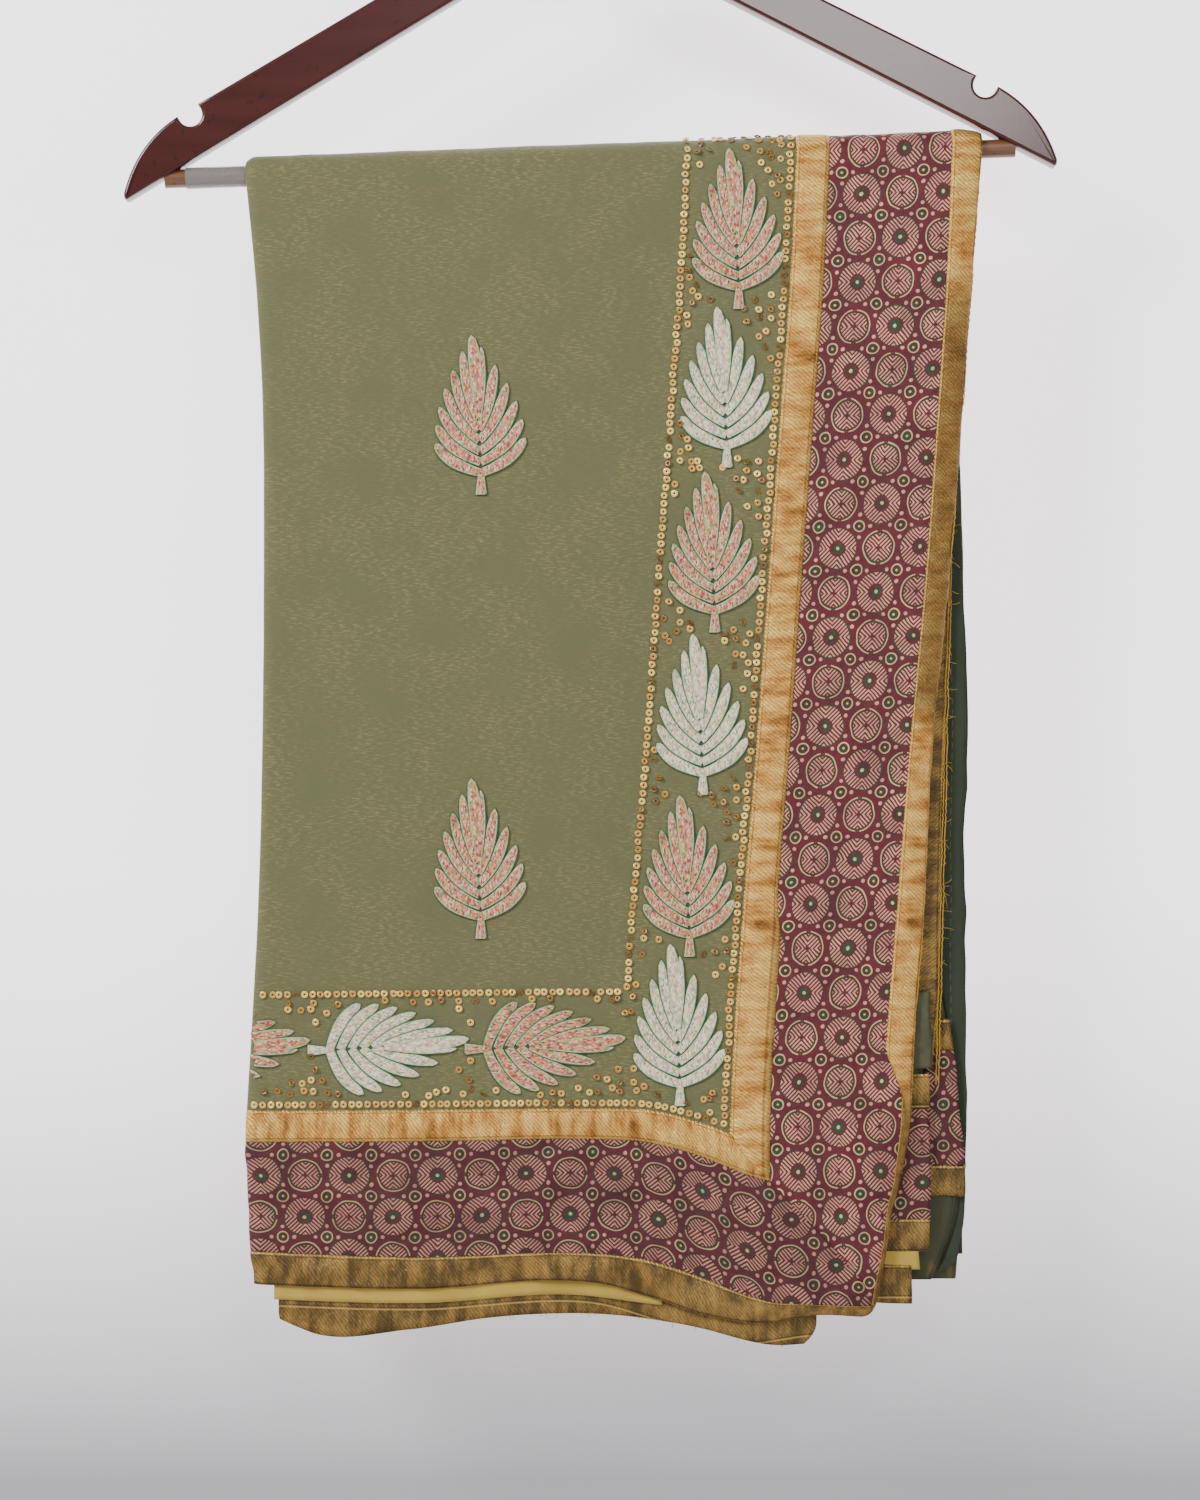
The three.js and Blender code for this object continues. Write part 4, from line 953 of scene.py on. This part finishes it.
def folded_layers():
    """A closed section of thin layers, each with its own rounded and wandering end, carried hem to hem.

    It runs along the outer face, down through the layers at the right, back along the face on the
    bar, and up through the layers at the left.
    """
    drops, back_drops = (np.concatenate([low, np.linspace(after, STACK_TOP, STACK_ROWS)])
                         for low, after in STACK_ENDS.values())
    crest = CREST_HALF * np.linspace(1, -1, CREST_STEPS)
    q = np.concatenate([CREST_HALF + drops, crest, -(CREST_HALF + back_drops[::-1])])
    thin_from = np.where(q > 0, THINNED["front"], THINNED["back"])
    height = np.where(drop_of(q) >= thin_from, THINNED["share"], 1.0)
    left = line_down("left", q)
    inner_left, outer_left = left + BUNDLE_LAYERS[-1][3], left + BUNDLE_LAYERS[0][3]
    xs, shares, maps = [], [], []

    def add(x, share, label):
        xs.append(x)
        shares.append(share * height)
        maps.append(label + 0 * q)

    ends = {name: along(BUNDLES, "drop", name, slant_drop(q)) for name, *_ in BUNDLE_LAYERS}
    for i in range(1, FACE_STEPS):
        add(outer_left + (ends["fourth"] - outer_left) * i / FACE_STEPS, 1.0, 0.5)
    for side in (1, -1):
        order = BUNDLE_LAYERS if side > 0 else BUNDLE_LAYERS[::-1]
        for name, low, high, inset, count in order:
            for k in range(count):
                top = high - (high - low) * k / count if side > 0 else low + (high - low) * k / count
                bottom = top - side * (high - low) / count
                seed = 50 + int(low * 100) + k * 3 + (0 if side > 0 else 7)
                wander = 0.7 * ripple(q, 0 * q, 34, 10, seed) - 0.5
                end = ends[name] + wander if side > 0 else left + inset - wander
                for at, draw in LAYER_PROFILE:
                    add(end - side * draw, top + (bottom - top) * at, at)
        if side > 0:
            for i in range(FACE_STEPS - 1, 0, -1):
                add(inner_left + (ends["first"] - inner_left) * i / FACE_STEPS, 0.0, 0.5)
    x, share, label = (np.stack(part, 1) for part in (xs, shares, maps))
    way = np.repeat(q[:, None], x.shape[1], 1)
    points = on_cloth(stack_point(x, way, share, -0.5 * share))
    faces = quads(*x.shape, close=True)
    count = x.shape[1]
    start, stop = list(range(count)), list(range(len(q) * count - 1, (len(q) - 1) * count - 1, -1))
    side = points[1, 6] - points[0, 6]
    across = points[0, 7] - points[0, 6]
    if np.cross(across, side)[1] > 0:
        faces = faces[:, ::-1]
    else:
        start, stop = start[::-1], stop[::-1]
    obj = new_mesh("folded_layer_edges", points, faces.tolist() + [start[::-1], stop[::-1]], LAYERS,
                   np.stack([label, way], -1))
    dress(obj, "rear_cloth", "folded_layers")


def value_at(limit, at):
    """A limit given as a number or as a function of the other direction."""
    return limit(at) if callable(limit) else np.full_like(at, float(limit))


def strip(name, material, slot, node, left, right, top, bottom, share, lift, cells=(10, 12), side=1,
          lengthwise="x", wave=0.3, seed=5, thick=0.4):
    """A stretch of a hidden layer: a grid between two edges and two ends, with soft waves."""
    s, t = np.meshgrid(np.linspace(0, 1, cells[0] + 1), np.linspace(0, 1, cells[1] + 1), indexing="ij")
    zero = np.zeros_like(s)
    first = value_at(top, zero)
    guess = value_at(left, first) + (value_at(right, first) - value_at(left, first)) * s
    drop = value_at(top, guess) + (value_at(bottom, guess) - value_at(top, guess)) * t
    drop = drop + 0.45 * ripple(guess, 0 * guess, 8, 5, 71) * smooth((guess - 120) / 10)
    x = value_at(left, drop) + (value_at(right, drop) - value_at(left, drop)) * s
    x = x + s * 0.7 * ripple(drop, 0 * drop, 12, 5, seed + 20) * smooth((x - 120) / 10)
    q = side * (CREST_HALF + drop)
    rise = lift + wave * ripple(x, drop, 11, 23, seed) * np.sin(np.pi * s) ** 0.5
    points = stack_point(x, q, share, rise)
    across = drop - value_at(top, guess) if lengthwise == "x" else value_at(right, drop) - x
    uv = np.stack([across, x + MEDALLION_START["hem"] if lengthwise == "x" else drop], -1)
    obj = cloth(name, points, uv, material, slot, *([node] if node else []), thick=thick, out=(0, -side, 0))
    return obj


def hem_line(side):
    return lambda x: line_across("hem", x, side + 0 * x)


def bundle_end(name, extra=0.0):
    return lambda drop: along(BUNDLES, "drop", name, drop) + extra


def beside_edge(extra):
    return lambda drop: line_down("edge", CREST_HALF + drop) + extra


def rear_edge(drop):
    """Right edge of the rear cloth: level steps out and in, and a cubic round at its low corner."""
    steps = 5 * (1 - smooth((drop - 140) / 90)) + 5 * smooth((drop - 480) / 60)
    return 179.2 - steps - 9 * np.clip((drop - 517) / 12, 0, 1) ** 3 + 0.7 * ripple(drop, 0 * drop, 27, 9, 8)


def hidden_strips():
    """The second hem with its lining, the rear cloth at the open side, and the stepped corners."""
    for side, label, lower in ((1, "front", 0), (-1, "back", -1)):
        under = hem_line(side)
        strip("second_hem_gold_" + label, SHADED_GOLD, "gold_ribbon", "second_hem_ribbon_" + label,
              lambda drop: -147 + 5 * np.clip((drop - 546) / 9, 0, 1) ** 2,
              lambda drop: 107 - 6 * np.clip((drop - 550) / 10, 0, 1) ** 2,
              lambda x: under(x) - 5, lambda x: along(SECOND_HEM, "x", "low", x) + lower,
              1, -1.9, (90, 8), side, wave=0.35, seed=31)
        strip("lining_edge_" + label, LINING, "lining", "lining_strip_" + label, -149, 34,
              lambda x: under(x) - 5, lambda x: under(x) + 8 * smooth((60 - x) / 60) - 1,
              1, -0.6, (60, 5), side, wave=0.25, seed=33)
    strip("rear_cloth_front", REAR, "rear_cloth", "second_layer_front", bundle_end("second", 2), rear_edge,
          150, 528, 0.25, 0.8, (8, 90), lengthwise="drop", wave=0.6, seed=35)
    strip("rear_cloth_back", REAR, "rear_cloth", "second_layer_back",
          lambda drop: line_down("edge", -CREST_HALF - drop) - 9,
          lambda drop: np.minimum(line_down("edge", -CREST_HALF - drop) + 5, rear_edge(drop) - 4.5),
          110, 519, 0.25, 0.8, (4, 90), side=-1, lengthwise="drop", wave=0.3, seed=37)
    under_edge = table("drop x", [
        [150, 172.6], [190, 172.2], [300, 168], [360, 166.6], [400, 166], [432, 162.5]])
    strip("under_ribbon", SHADED_GOLD, "gold_ribbon", None, beside_edge(-4),
          lambda drop: along(under_edge, "drop", "x", drop), 156, 432, 0.6, 0.5, (6, 80),
          lengthwise="drop", wave=0.2)
    strip("worn_gauze", GAUZE, "leaf_white", None, beside_edge(-3), 161.8, 396, 432, 0.74, 0.9, (6, 20),
          lengthwise="drop", wave=0.4, seed=39)
    borders_below = (
        ("second_corner", "corner_a", 159.3, bundle_end("second", 3), 0.45, 0.7, (410, 424, 478.5, 492)),
        ("third_corner", "corner_b", beside_edge(-2), 161, 0.68, 1.2, (435, 450.5, 503, 517)))
    for name, node, left, right, share, lift, drops in borders_below:
        kinds = (("inner_ribbon", SHADED_GOLD, "gold_ribbon"), ("brocade", SHADED_BROCADE, "brocade"),
                 ("outer_ribbon", SHADED_GOLD, "gold_ribbon"))
        for k, (kind, material, slot) in enumerate(kinds):
            woven = kind == "brocade"
            strip(f"{name}_{kind}", material, slot, f"{node}_{kind}", left, right, drops[k] - 0.4,
                  drops[k + 1] + 0.4, share, lift if woven else lift + 0.35, (10, 20 if woven else 6),
                  wave=0.5, seed=41 + k)
    strip("corner_yellow", LINING, "lining", "corner_lining", beside_edge(-2), 156, 516, 526,
          0.68, 1.0, (10, 6))
    strip("corner_fold_gold", SHADED_GOLD, "gold_ribbon", "corner_c_ribbon", beside_edge(-2), 152, 524, 542,
          0.68, 1.2, (8, 10))


# Embroidery

LEAF_LENGTH, LOBES, LEAN = 69.0, 6, -0.072
LEAF_PITCH, BAND_LEAVES = 74.2, 6
FIRST_LEAF = {"front": 68, "back": -9}              # foot of the first band leaf, from the crest's end
HEM_LEAF = {"front": 421, "back": -426}             # way from the crest's end to the leaves in the hem band
FIELD_LEAF = {"x": -51.5, "first": 150, "pitch": 211}
LEAF_SETTLE = [-2.6, -2.0, 1.5, 3.9, 5.8, 1.7]      # how far each leaf of the front lies off the even pitch


def lobe_shapes():
    """Root, control and tip of each lobe, and its half width, in leaf lengths.

    Tips climb evenly along a curve that narrows as a cosine, roots climb the midrib at six tenths
    of that, and each control point lies out and low, so that the lobe leaves aslant and turns up.
    """
    shapes = []
    for side in (1, -1):
        for k in range(LOBES):
            level = 0.265 + 0.128 * k
            up = level + 0.012 * side
            reach = 0.315 * math.cos(math.pi / 2 * ((up - 0.2) / 0.8) ** 1.15)
            tip = (LEAN * up**2 + side * reach, up)
            root = (LEAN * 0.4 * level**2, 0.03 + 0.58 * (level - 0.25))
            sag = 0.02 * (1 - k / LOBES)
            control = (root[0] + 0.66 * (tip[0] - root[0]), root[1] + 0.34 * (up - root[1]) - sag)
            shapes.append((root, control, tip, 0.052 - 0.001 * k))
    shapes.append(((LEAN * 0.2, 0.42), (LEAN * 0.3, 0.72), (LEAN, 1.0), 0.056))
    shapes.append(((0, 0.04), (0, -0.03), (0, -0.115), -0.046))
    return shapes


def leaf_surface():
    """Points (out, up, height) and edge share of every lobe, a domed blade along a bent line.

    Each blade leans, so that its outer edge lies over the next one, as shingles do.

    A flat pad lies under the lobes, so that their gaps read as lines: a half circle below and a
    cosine above.
    """
    sideways = np.array([-1, -0.86, -0.6, -0.3, 0, 0.3, 0.6, 0.86, 1])
    t, s = np.meshgrid(np.linspace(0, 1, 15), sideways, indexing="ij")
    blades, faces, edge = [], [], []
    sides = [1] * LOBES + [-1] * LOBES + [0, 0]
    for number, (root, control, tip, half) in enumerate(lobe_shapes()):
        root, control, tip = map(np.array, (root, control, tip))
        centre = (((1 - t) ** 2)[..., None] * root + (2 * t * (1 - t))[..., None] * control
                  + (t**2)[..., None] * tip)
        run = unit((2 * (1 - t))[..., None] * (control - root) + (2 * t)[..., None] * (tip - control))
        normal = np.stack([-run[..., 1], run[..., 0]], -1)
        swollen = 0.68 + 0.32 * smooth(t / 0.6)
        grow = swollen * np.sqrt(1 - np.clip((t - 0.5) / 0.5, 0, 1) ** 2.2) if half > 0 else 0.5 + 0.5 * t
        flat = centre + normal * (s * abs(half) * grow)[..., None]
        dome = np.sqrt(np.clip(1 - s**2, 0, 1)) * (0.35 + 0.65 * grow)
        rise = 0.1 + 0.45 * dome + 0.3 * (1 - s * sides[number]) + 0.015 * number
        blades.append(np.concatenate([flat * LEAF_LENGTH, rise[..., None]], -1))
        edge.append(np.maximum(np.abs(s), smooth((t - 0.82) / 0.18) * 0.9))
        faces.append(quads(15, 9) + number * t.size)
    up = 0.06 + 0.8 * t
    lower, upper = np.clip((0.3 - up) / 0.24, 0, 1), np.clip((up - 0.3) / 0.56, 0, 1)
    wide = 0.24 * np.where(up < 0.3, np.sqrt(1 - lower**2), np.cos(np.pi / 2 * upper))
    pad = np.stack([LEAN * up**2 + s * wide, up, 0 * up], -1) * [LEAF_LENGTH, LEAF_LENGTH, 1]
    blades.append(pad + [0, 0, 0.04])
    edge.append(1 + 0 * t)
    faces.append(quads(15, 9) + len(lobe_shapes()) * t.size)
    return np.stack(blades).reshape(-1, 3), np.concatenate(faces), np.stack(edge).ravel()


LEAF_POINTS, LEAF_FACES, LEAF_EDGE = leaf_surface()


def leaf(name, x, q, turn, colour, node, wrap=False):
    """One embroidered leaf: the lobes turned to its direction and laid on the top layer."""
    angle = math.radians(turn)
    out, up, height = LEAF_POINTS.T
    at_x = x + out * math.cos(angle) + up * math.sin(angle)
    at_q = q + out * math.sin(angle) - up * math.cos(angle)
    faces = LEAF_FACES
    if wrap:
        keep = at_x > line_down("left", at_q) + 0.6
        faces = faces[keep[faces].all(1)]
    points = on_cloth(drape(at_x, at_q, LEAF_LIFT + height))
    a, b, c = (points[faces[0][k]] for k in (0, 1, 2))
    if np.cross(b - a, c - a)[1] * (1 if q > 0 else -1) > 0:
        faces = faces[:, ::-1]
    used, faces = np.unique(faces, return_inverse=True)
    flat = np.stack([out, up], -1)
    obj = new_mesh(name, points[used], faces.reshape(-1, 4), PINK if colour == "pink" else WHITE, flat[used])
    lobe = obj.data.attributes.new("lobe", "FLOAT_VECTOR", "POINT")
    lobe.data.foreach_set("vector", np.repeat(LEAF_EDGE[used, None], 3, 1).astype(np.float32).ravel())
    dress(obj, "leaf_" + colour, node)


def leaf_rows():
    """Name, x, q, turn, colour, CAD node and wrap of every leaf, as rows at even distances."""
    rows = []
    for i in range(BAND_LEAVES):
        pair = ("pink", "white") if i % 2 == 0 else ("white", "pink")
        for label, q, colour in (("front", CREST_HALF + FIRST_LEAF["front"] + i * LEAF_PITCH, pair[0]),
                                 ("back", -CREST_HALF + FIRST_LEAF["back"] - i * LEAF_PITCH, pair[1])):
            q = q + (LEAF_SETTLE[i] if q > 0 else 0)
            x = float(line_down("field", np.array(q))) - 24
            rows.append((f"band_leaf_{label}_{i + 1}", x, q, 0, colour, f"leaf_end_{label}_{i + 1}", False))
    for label, way in HEM_LEAF.items():
        q = math.copysign(CREST_HALF, way) + way
        left = float(line_down("left", np.array(q)))
        for number, x, colour in ((1, left + 34.5, "white"), (2, left + 34.5 + LEAF_PITCH, "pink"),
                                  (3, left + 28.5 - LEAF_LENGTH, "pink")):
            rows.append((f"hem_leaf_{label}_{number}", x, q, 90, colour, f"leaf_hem_{label}_{number}",
                         number == 3))
    for i in range(2):
        for label, pitches in (("front", i), ("back", -(i + 1))):
            q = CREST_HALF + FIELD_LEAF["first"] + pitches * FIELD_LEAF["pitch"]
            rows.append((f"field_leaf_{label}_{i + 1}", FIELD_LEAF["x"], q, 0, "pink",
                         f"leaf_field_{label}_{i + 1}", False))
    return rows


# Sequins

SEQUIN_PITCH, SCATTER_PITCH, SCATTER_DRIFT = 3.8, 5.4, 1.9
BESIDE_RIBBON, BAND_SIDE, BAND_TOP = 2.6, 52, 55    # the rows' distances from the ribbons' inner edges


def rings(name, x, q, lean, tone, lift):
    """A cupped ring for each place: twelve corners round, four rings of them, turned by its lean."""
    around = np.linspace(0, 2 * np.pi, 12, endpoint=False)
    profile = np.array([[0.42, 0.02], [0.66, 0.26], [1.32, 0.32], [1.75, 0.12]])
    radius, height = profile[:, 0][:, None], profile[:, 1][:, None]
    local = np.stack(np.broadcast_arrays(radius * np.cos(around), radius * np.sin(around), height), -1)
    point, right, out = bed(x, q)
    point = point + out * (lift + swell(x, q))[:, None]
    down = np.cross(out, right)
    tilted = unit(out + right * lean[:, :1] + down * lean[:, 1:])
    right = unit(np.cross(down, tilted))
    down = np.cross(tilted, right)
    frames = np.stack([right, down, tilted], 1)
    points = point[:, None, None] + np.einsum("rak,nkc->nrac", local, frames)
    faces = quads(4, 12, close=True)
    all_faces = (faces[None] + np.arange(len(x))[:, None, None] * 48).reshape(-1, 4)
    outwards = np.linspace(0, 1, 4)[:, None]
    uv = np.stack(np.broadcast_arrays(tone[:, None, None], outwards, np.zeros(12)), -1)[..., :2]
    obj = new_mesh(name, on_cloth(points), all_faces, SEQUIN, uv)
    dress(obj, "gold_ribbon")


def sequins(rng, leaves):
    """Touching rows beside the ribbons and round the field, and scattered ones clear of the leaves."""
    for label, side in (("front", 1), ("back", -1)):
        q = side * np.arange(2.0, 560, SEQUIN_PITCH)
        rows = []
        for beside, above in ((BAND_SIDE, BAND_TOP), (BESIDE_RIBBON, 3)):
            x = line_down("field", q) - beside
            keep = drop_of(q) < line_across("field", x, q) - above
            rows.append((x[keep], q[keep]))
        for above in (BAND_TOP, BESIDE_RIBBON):
            x = np.arange(-158.0, 100, SEQUIN_PITCH)
            drop = line_across("field", x, side + 0 * x) - above
            way = side * (CREST_HALF + drop)
            end = line_down("field", way) - (53 if above > 9 else 5)
            keep = (x > line_down("left", way) + 3) & (x < end)
            rows.append((x[keep], way[keep]))
        a, b = np.meshgrid(np.arange(-158, 100, SCATTER_PITCH), np.arange(0, 480, SCATTER_PITCH),
                           indexing="ij")
        a = (a + rng.uniform(-SCATTER_DRIFT, SCATTER_DRIFT, a.shape)).ravel()
        b = side * (b + rng.uniform(-SCATTER_DRIFT, SCATTER_DRIFT, b.shape)).ravel()
        drop, field, low = drop_of(b), line_down("field", b), line_across("field", a, b)
        upright = (a > field - 49) & (a < field - 6)
        level = (drop > low - 52) & (a < field - 6)
        keep = (upright | level) & (drop < low - 6) & (a > line_down("left", b) + 4)
        keep &= rng.uniform(size=a.size) < 0.9
        for _, x, q, turn, *_ in leaves:
            angle = math.radians(turn)
            out = (a - x) * math.cos(angle) + (b - q) * math.sin(angle)
            up = (a - x) * math.sin(angle) - (b - q) * math.cos(angle)
            wide = 22 * np.sqrt(np.clip(1 - ((up - 20) / np.where(up > 20, 50, 24)) ** 2, 0, 1)) + 0.6
            keep &= ~((np.abs(out + 0.001 * up**2) < wide) & (up > -10) & (up < 71))
        rows.append((a[keep], b[keep]))
        for number, (x, q) in enumerate(rows):
            # Dark ones lean further and take low tones, painted shade for sequins turned from the light; the
            # tone of the rest varies at random.
            dark = rng.uniform(size=x.size) < (0.4 if number == 4 else 0.12)
            lean = rng.normal(0, np.where(dark, 0.55, 0.12)[:, None], (x.size, 2))
            tone = np.where(dark, rng.uniform(0, 0.3, x.size), rng.uniform(0.35, 1, x.size))
            wander = 0.25 if number < 4 else 0
            x = x + rng.normal(0, wander, x.size)
            rings(f"sequins_{label}_{number + 1}", x, q, lean, tone, 1.8 + rng.uniform(0, 0.25, x.size))


# Loose threads

CORD_RADIUS, THREAD_RADIUS, THREAD_SLANT = 0.32, 0.11, 0.026


def tube(points, radius, sides=5):
    """A closed tube: a ring of corners round each point of a line, and a face over each end."""
    run = unit(np.gradient(points, axis=0))
    first = unit(np.cross(run, [0.3, 1.0, 0.2]))
    second = np.cross(run, first)
    angle = np.linspace(0, 2 * np.pi, sides, endpoint=False)
    ring = first[:, None] * np.cos(angle)[:, None] + second[:, None] * np.sin(angle)[:, None]
    body = (points[:, None] + ring * radius).reshape(-1, 3)
    last = (len(points) - 1) * sides
    caps = [list(range(sides))[::-1], list(range(last, last + sides))]
    return body, quads(len(points), sides, close=True).tolist() + caps


def loose_threads(rng):
    """Cords along the open edge, and frayed ends there and along the second hem: curls off the edge."""
    starts = []
    for drop in np.sort(rng.uniform(170, 430, 46)):
        x = 172.4 - THREAD_SLANT * (drop - 170)
        starts.append((x - 1.5, drop, 0.6, 0.5, rng.uniform(3.0, 7.0), rng.uniform(-0.5, 1.3)))
    for x in rng.uniform(-40, 100, 16):
        low = float(along(SECOND_HEM, "x", "low", np.array(x)))
        starts.append((x, low - 0.8, 1, -1.9, rng.uniform(1.5, 4.0), rng.uniform(1.0, 2.2)))
    starts.append((163.5, 342, 0.6, 0.8, 17.0, 0.9))
    bodies, faces = [], []

    def spin(points, radius):
        body, cells = tube(points, radius)
        first = sum(map(len, bodies))
        faces.extend([corner + first for corner in cell] for cell in cells)
        bodies.append(body)

    drops = np.linspace(20, 440, 260)
    under = np.minimum(172.8 - THREAD_SLANT * (drops - 170), 176.0)
    for line_x, first, share, lift in ((line_down("edge", CREST_HALF + drops) + 0.2, 0, 1, 1.0),
                                       (under - 0.2, 90, 0.6, 0.7), (under - 1.5, 90, 0.6, 0.9)):
        at = drops[first:]
        x = line_x[first:] + 0.35 * ripple(at, 0 * at, 9, 5, 60 + first) + 0.2 * np.sin(at * 2.1)
        spin(stack_point(x, CREST_HALF + at, share, lift), CORD_RADIUS)
    for x, drop, share, lift, length, heading in starts:
        origin = stack_point(np.array(x), np.array(CREST_HALF + drop), share, lift)
        t = np.linspace(0, 1, 9)
        turn = heading + rng.uniform(-1.2, 1.2) * t
        step = np.stack([np.cos(turn), -0.25 * np.sin(3 * t), -np.sin(turn)], -1) * length / 8
        spin(origin + np.concatenate([np.zeros((1, 3)), np.cumsum(step, 0)[:-1]]), THREAD_RADIUS)
    dress(new_mesh("frayed_threads", on_cloth(np.concatenate(bodies)), faces, YELLOW_THREAD), "lining")


# Hanger

def arm_outline():
    """Outline of the right arm in the hanger's plane, from the bar's middle.

    Straight slopes, a fin end on a cubic curve, a round strap notch and a turned-up neck.
    """
    half, rise, below = 222.5, math.radians(29.2), 10
    notch_from, notch_to, notch_deep = 185.7, 195.6, 8
    neck_depth, notch_depth, slope_to = 21.5, 24.4, 186

    def lower(x):
        return -below + (half - 1 - x) * math.tan(rise)

    def upper(x):
        return lower(x) + neck_depth + (notch_depth - neck_depth) * x / slope_to

    def curve(points, count):
        t = np.linspace(0, 1, count)[:, None]
        p = np.array(points, float)
        if len(p) == 3:
            return (1 - t) ** 2 * p[0] + 2 * t * (1 - t) * p[1] + t**2 * p[2]
        return (1 - t) ** 3 * p[0] + 3 * t * (1 - t) ** 2 * p[1] + 3 * t**2 * (1 - t) * p[2] + t**3 * p[3]

    run = np.array([math.cos(rise), -math.sin(rise)])
    inward = np.array([-math.sin(rise), -math.cos(rise)])
    inner_lip = np.array([notch_from, upper(notch_from)])
    radius = (notch_to - notch_from) / math.cos(rise) / 2
    outer_lip = inner_lip + run * radius * 2
    bottom = inner_lip + inward * (notch_deep - radius) + run * radius
    angle = np.linspace(0, math.pi, 17)[:, None]
    notch = bottom + run * radius * np.cos(angle) + inward * radius * np.sin(angle)
    straight = np.linspace(24, half - 4, 30)
    top = np.linspace(notch_from, 23, 24)
    parts = [
        curve([(0.15, 108), (12, 108), (24, lower(24))], 8)[:-1],
        np.stack([straight, lower(straight)], -1),
        curve([(half - 3, lower(half - 3)), (half, -11.5), (half, -7)], 6),
        curve([(half, -7), (half - 4, 7), (half - 12, 20), outer_lip], 22)[1:],
        notch,
        np.stack([top, upper(top)], -1),
        curve([(21, upper(21)), (13, 133), (13, 137)], 8),
        [(11, 139), (0.15, 139)],
    ]
    return np.concatenate([np.array(part) for part in parts])


def hanger_arm(name, side, node):
    """The outline carried round a rounded rim: rings drawn in by a quarter circle at both faces."""
    outline = arm_outline()
    ahead, behind = np.roll(outline, -1, 0) - outline, outline - np.roll(outline, 1, 0)
    normal = unit(unit(ahead) + unit(behind))
    inward = np.stack([-normal[:, 1], normal[:, 0]], -1)
    turn = np.linspace(0, math.pi / 2, 4)
    soft, plate = 1.5, 12
    inset = np.concatenate([soft * (1 - np.sin(turn)), soft * (1 - np.cos(turn))])
    depth = np.concatenate([-plate / 2 + soft * (1 - np.cos(turn)), plate / 2 - soft + soft * np.sin(turn)])
    rings_in = outline[None] + inward[None] * inset[:, None, None]
    x, z = rings_in[..., 0] * side, rings_in[..., 1] - HOOK_TO_BAR
    y = np.repeat(depth[:, None], x.shape[1], 1)
    along_x = x * math.cos(TILT) - z * math.sin(TILT)
    upwards = x * math.sin(TILT) + z * math.cos(TILT)
    points = np.stack([along_x, y, upwards], -1) * MM
    faces = quads(*x.shape, close=True)
    count = x.shape[1]
    caps = [list(range(count)), list(range(len(depth) * count - 1, (len(depth) - 1) * count - 1, -1))]
    if side > 0:
        caps = [cap[::-1] for cap in caps]
    else:
        faces = faces[:, ::-1]
    obj = new_mesh(name, points, faces[:, ::-1].tolist() + [cap[::-1] for cap in caps], WOOD)
    flat = np.zeros(len(obj.data.polygons), bool)
    flat[-2:] = True
    obj.data.polygons.foreach_set("use_smooth", ~flat)
    dress(obj, "varnished_wood", node)


def hanger():
    """Rounded arms in varnish, and new finishes on the bar, its sleeve, the ferrule and the hook."""
    hanger_arm("arm_right", 1, "hanger_arm_right")
    hanger_arm("arm_left", -1, "hanger_arm_left")
    finishes = {"trouser_bar": DOWEL, "bar_sleeve": SLEEVE, "hook_ferrule": STEEL, "hook": STEEL}
    for node, material in finishes.items():
        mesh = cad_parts[node].data
        mesh.materials.clear()
        mesh.materials.append(material)


set_stage()
rng = np.random.default_rng(17)
folded_layers()
body_cloth()
borders()
hidden_strips()
leaves = leaf_rows()
for row in leaves:
    leaf(*row)
sequins(rng, leaves)
loose_threads(rng)
hanger()
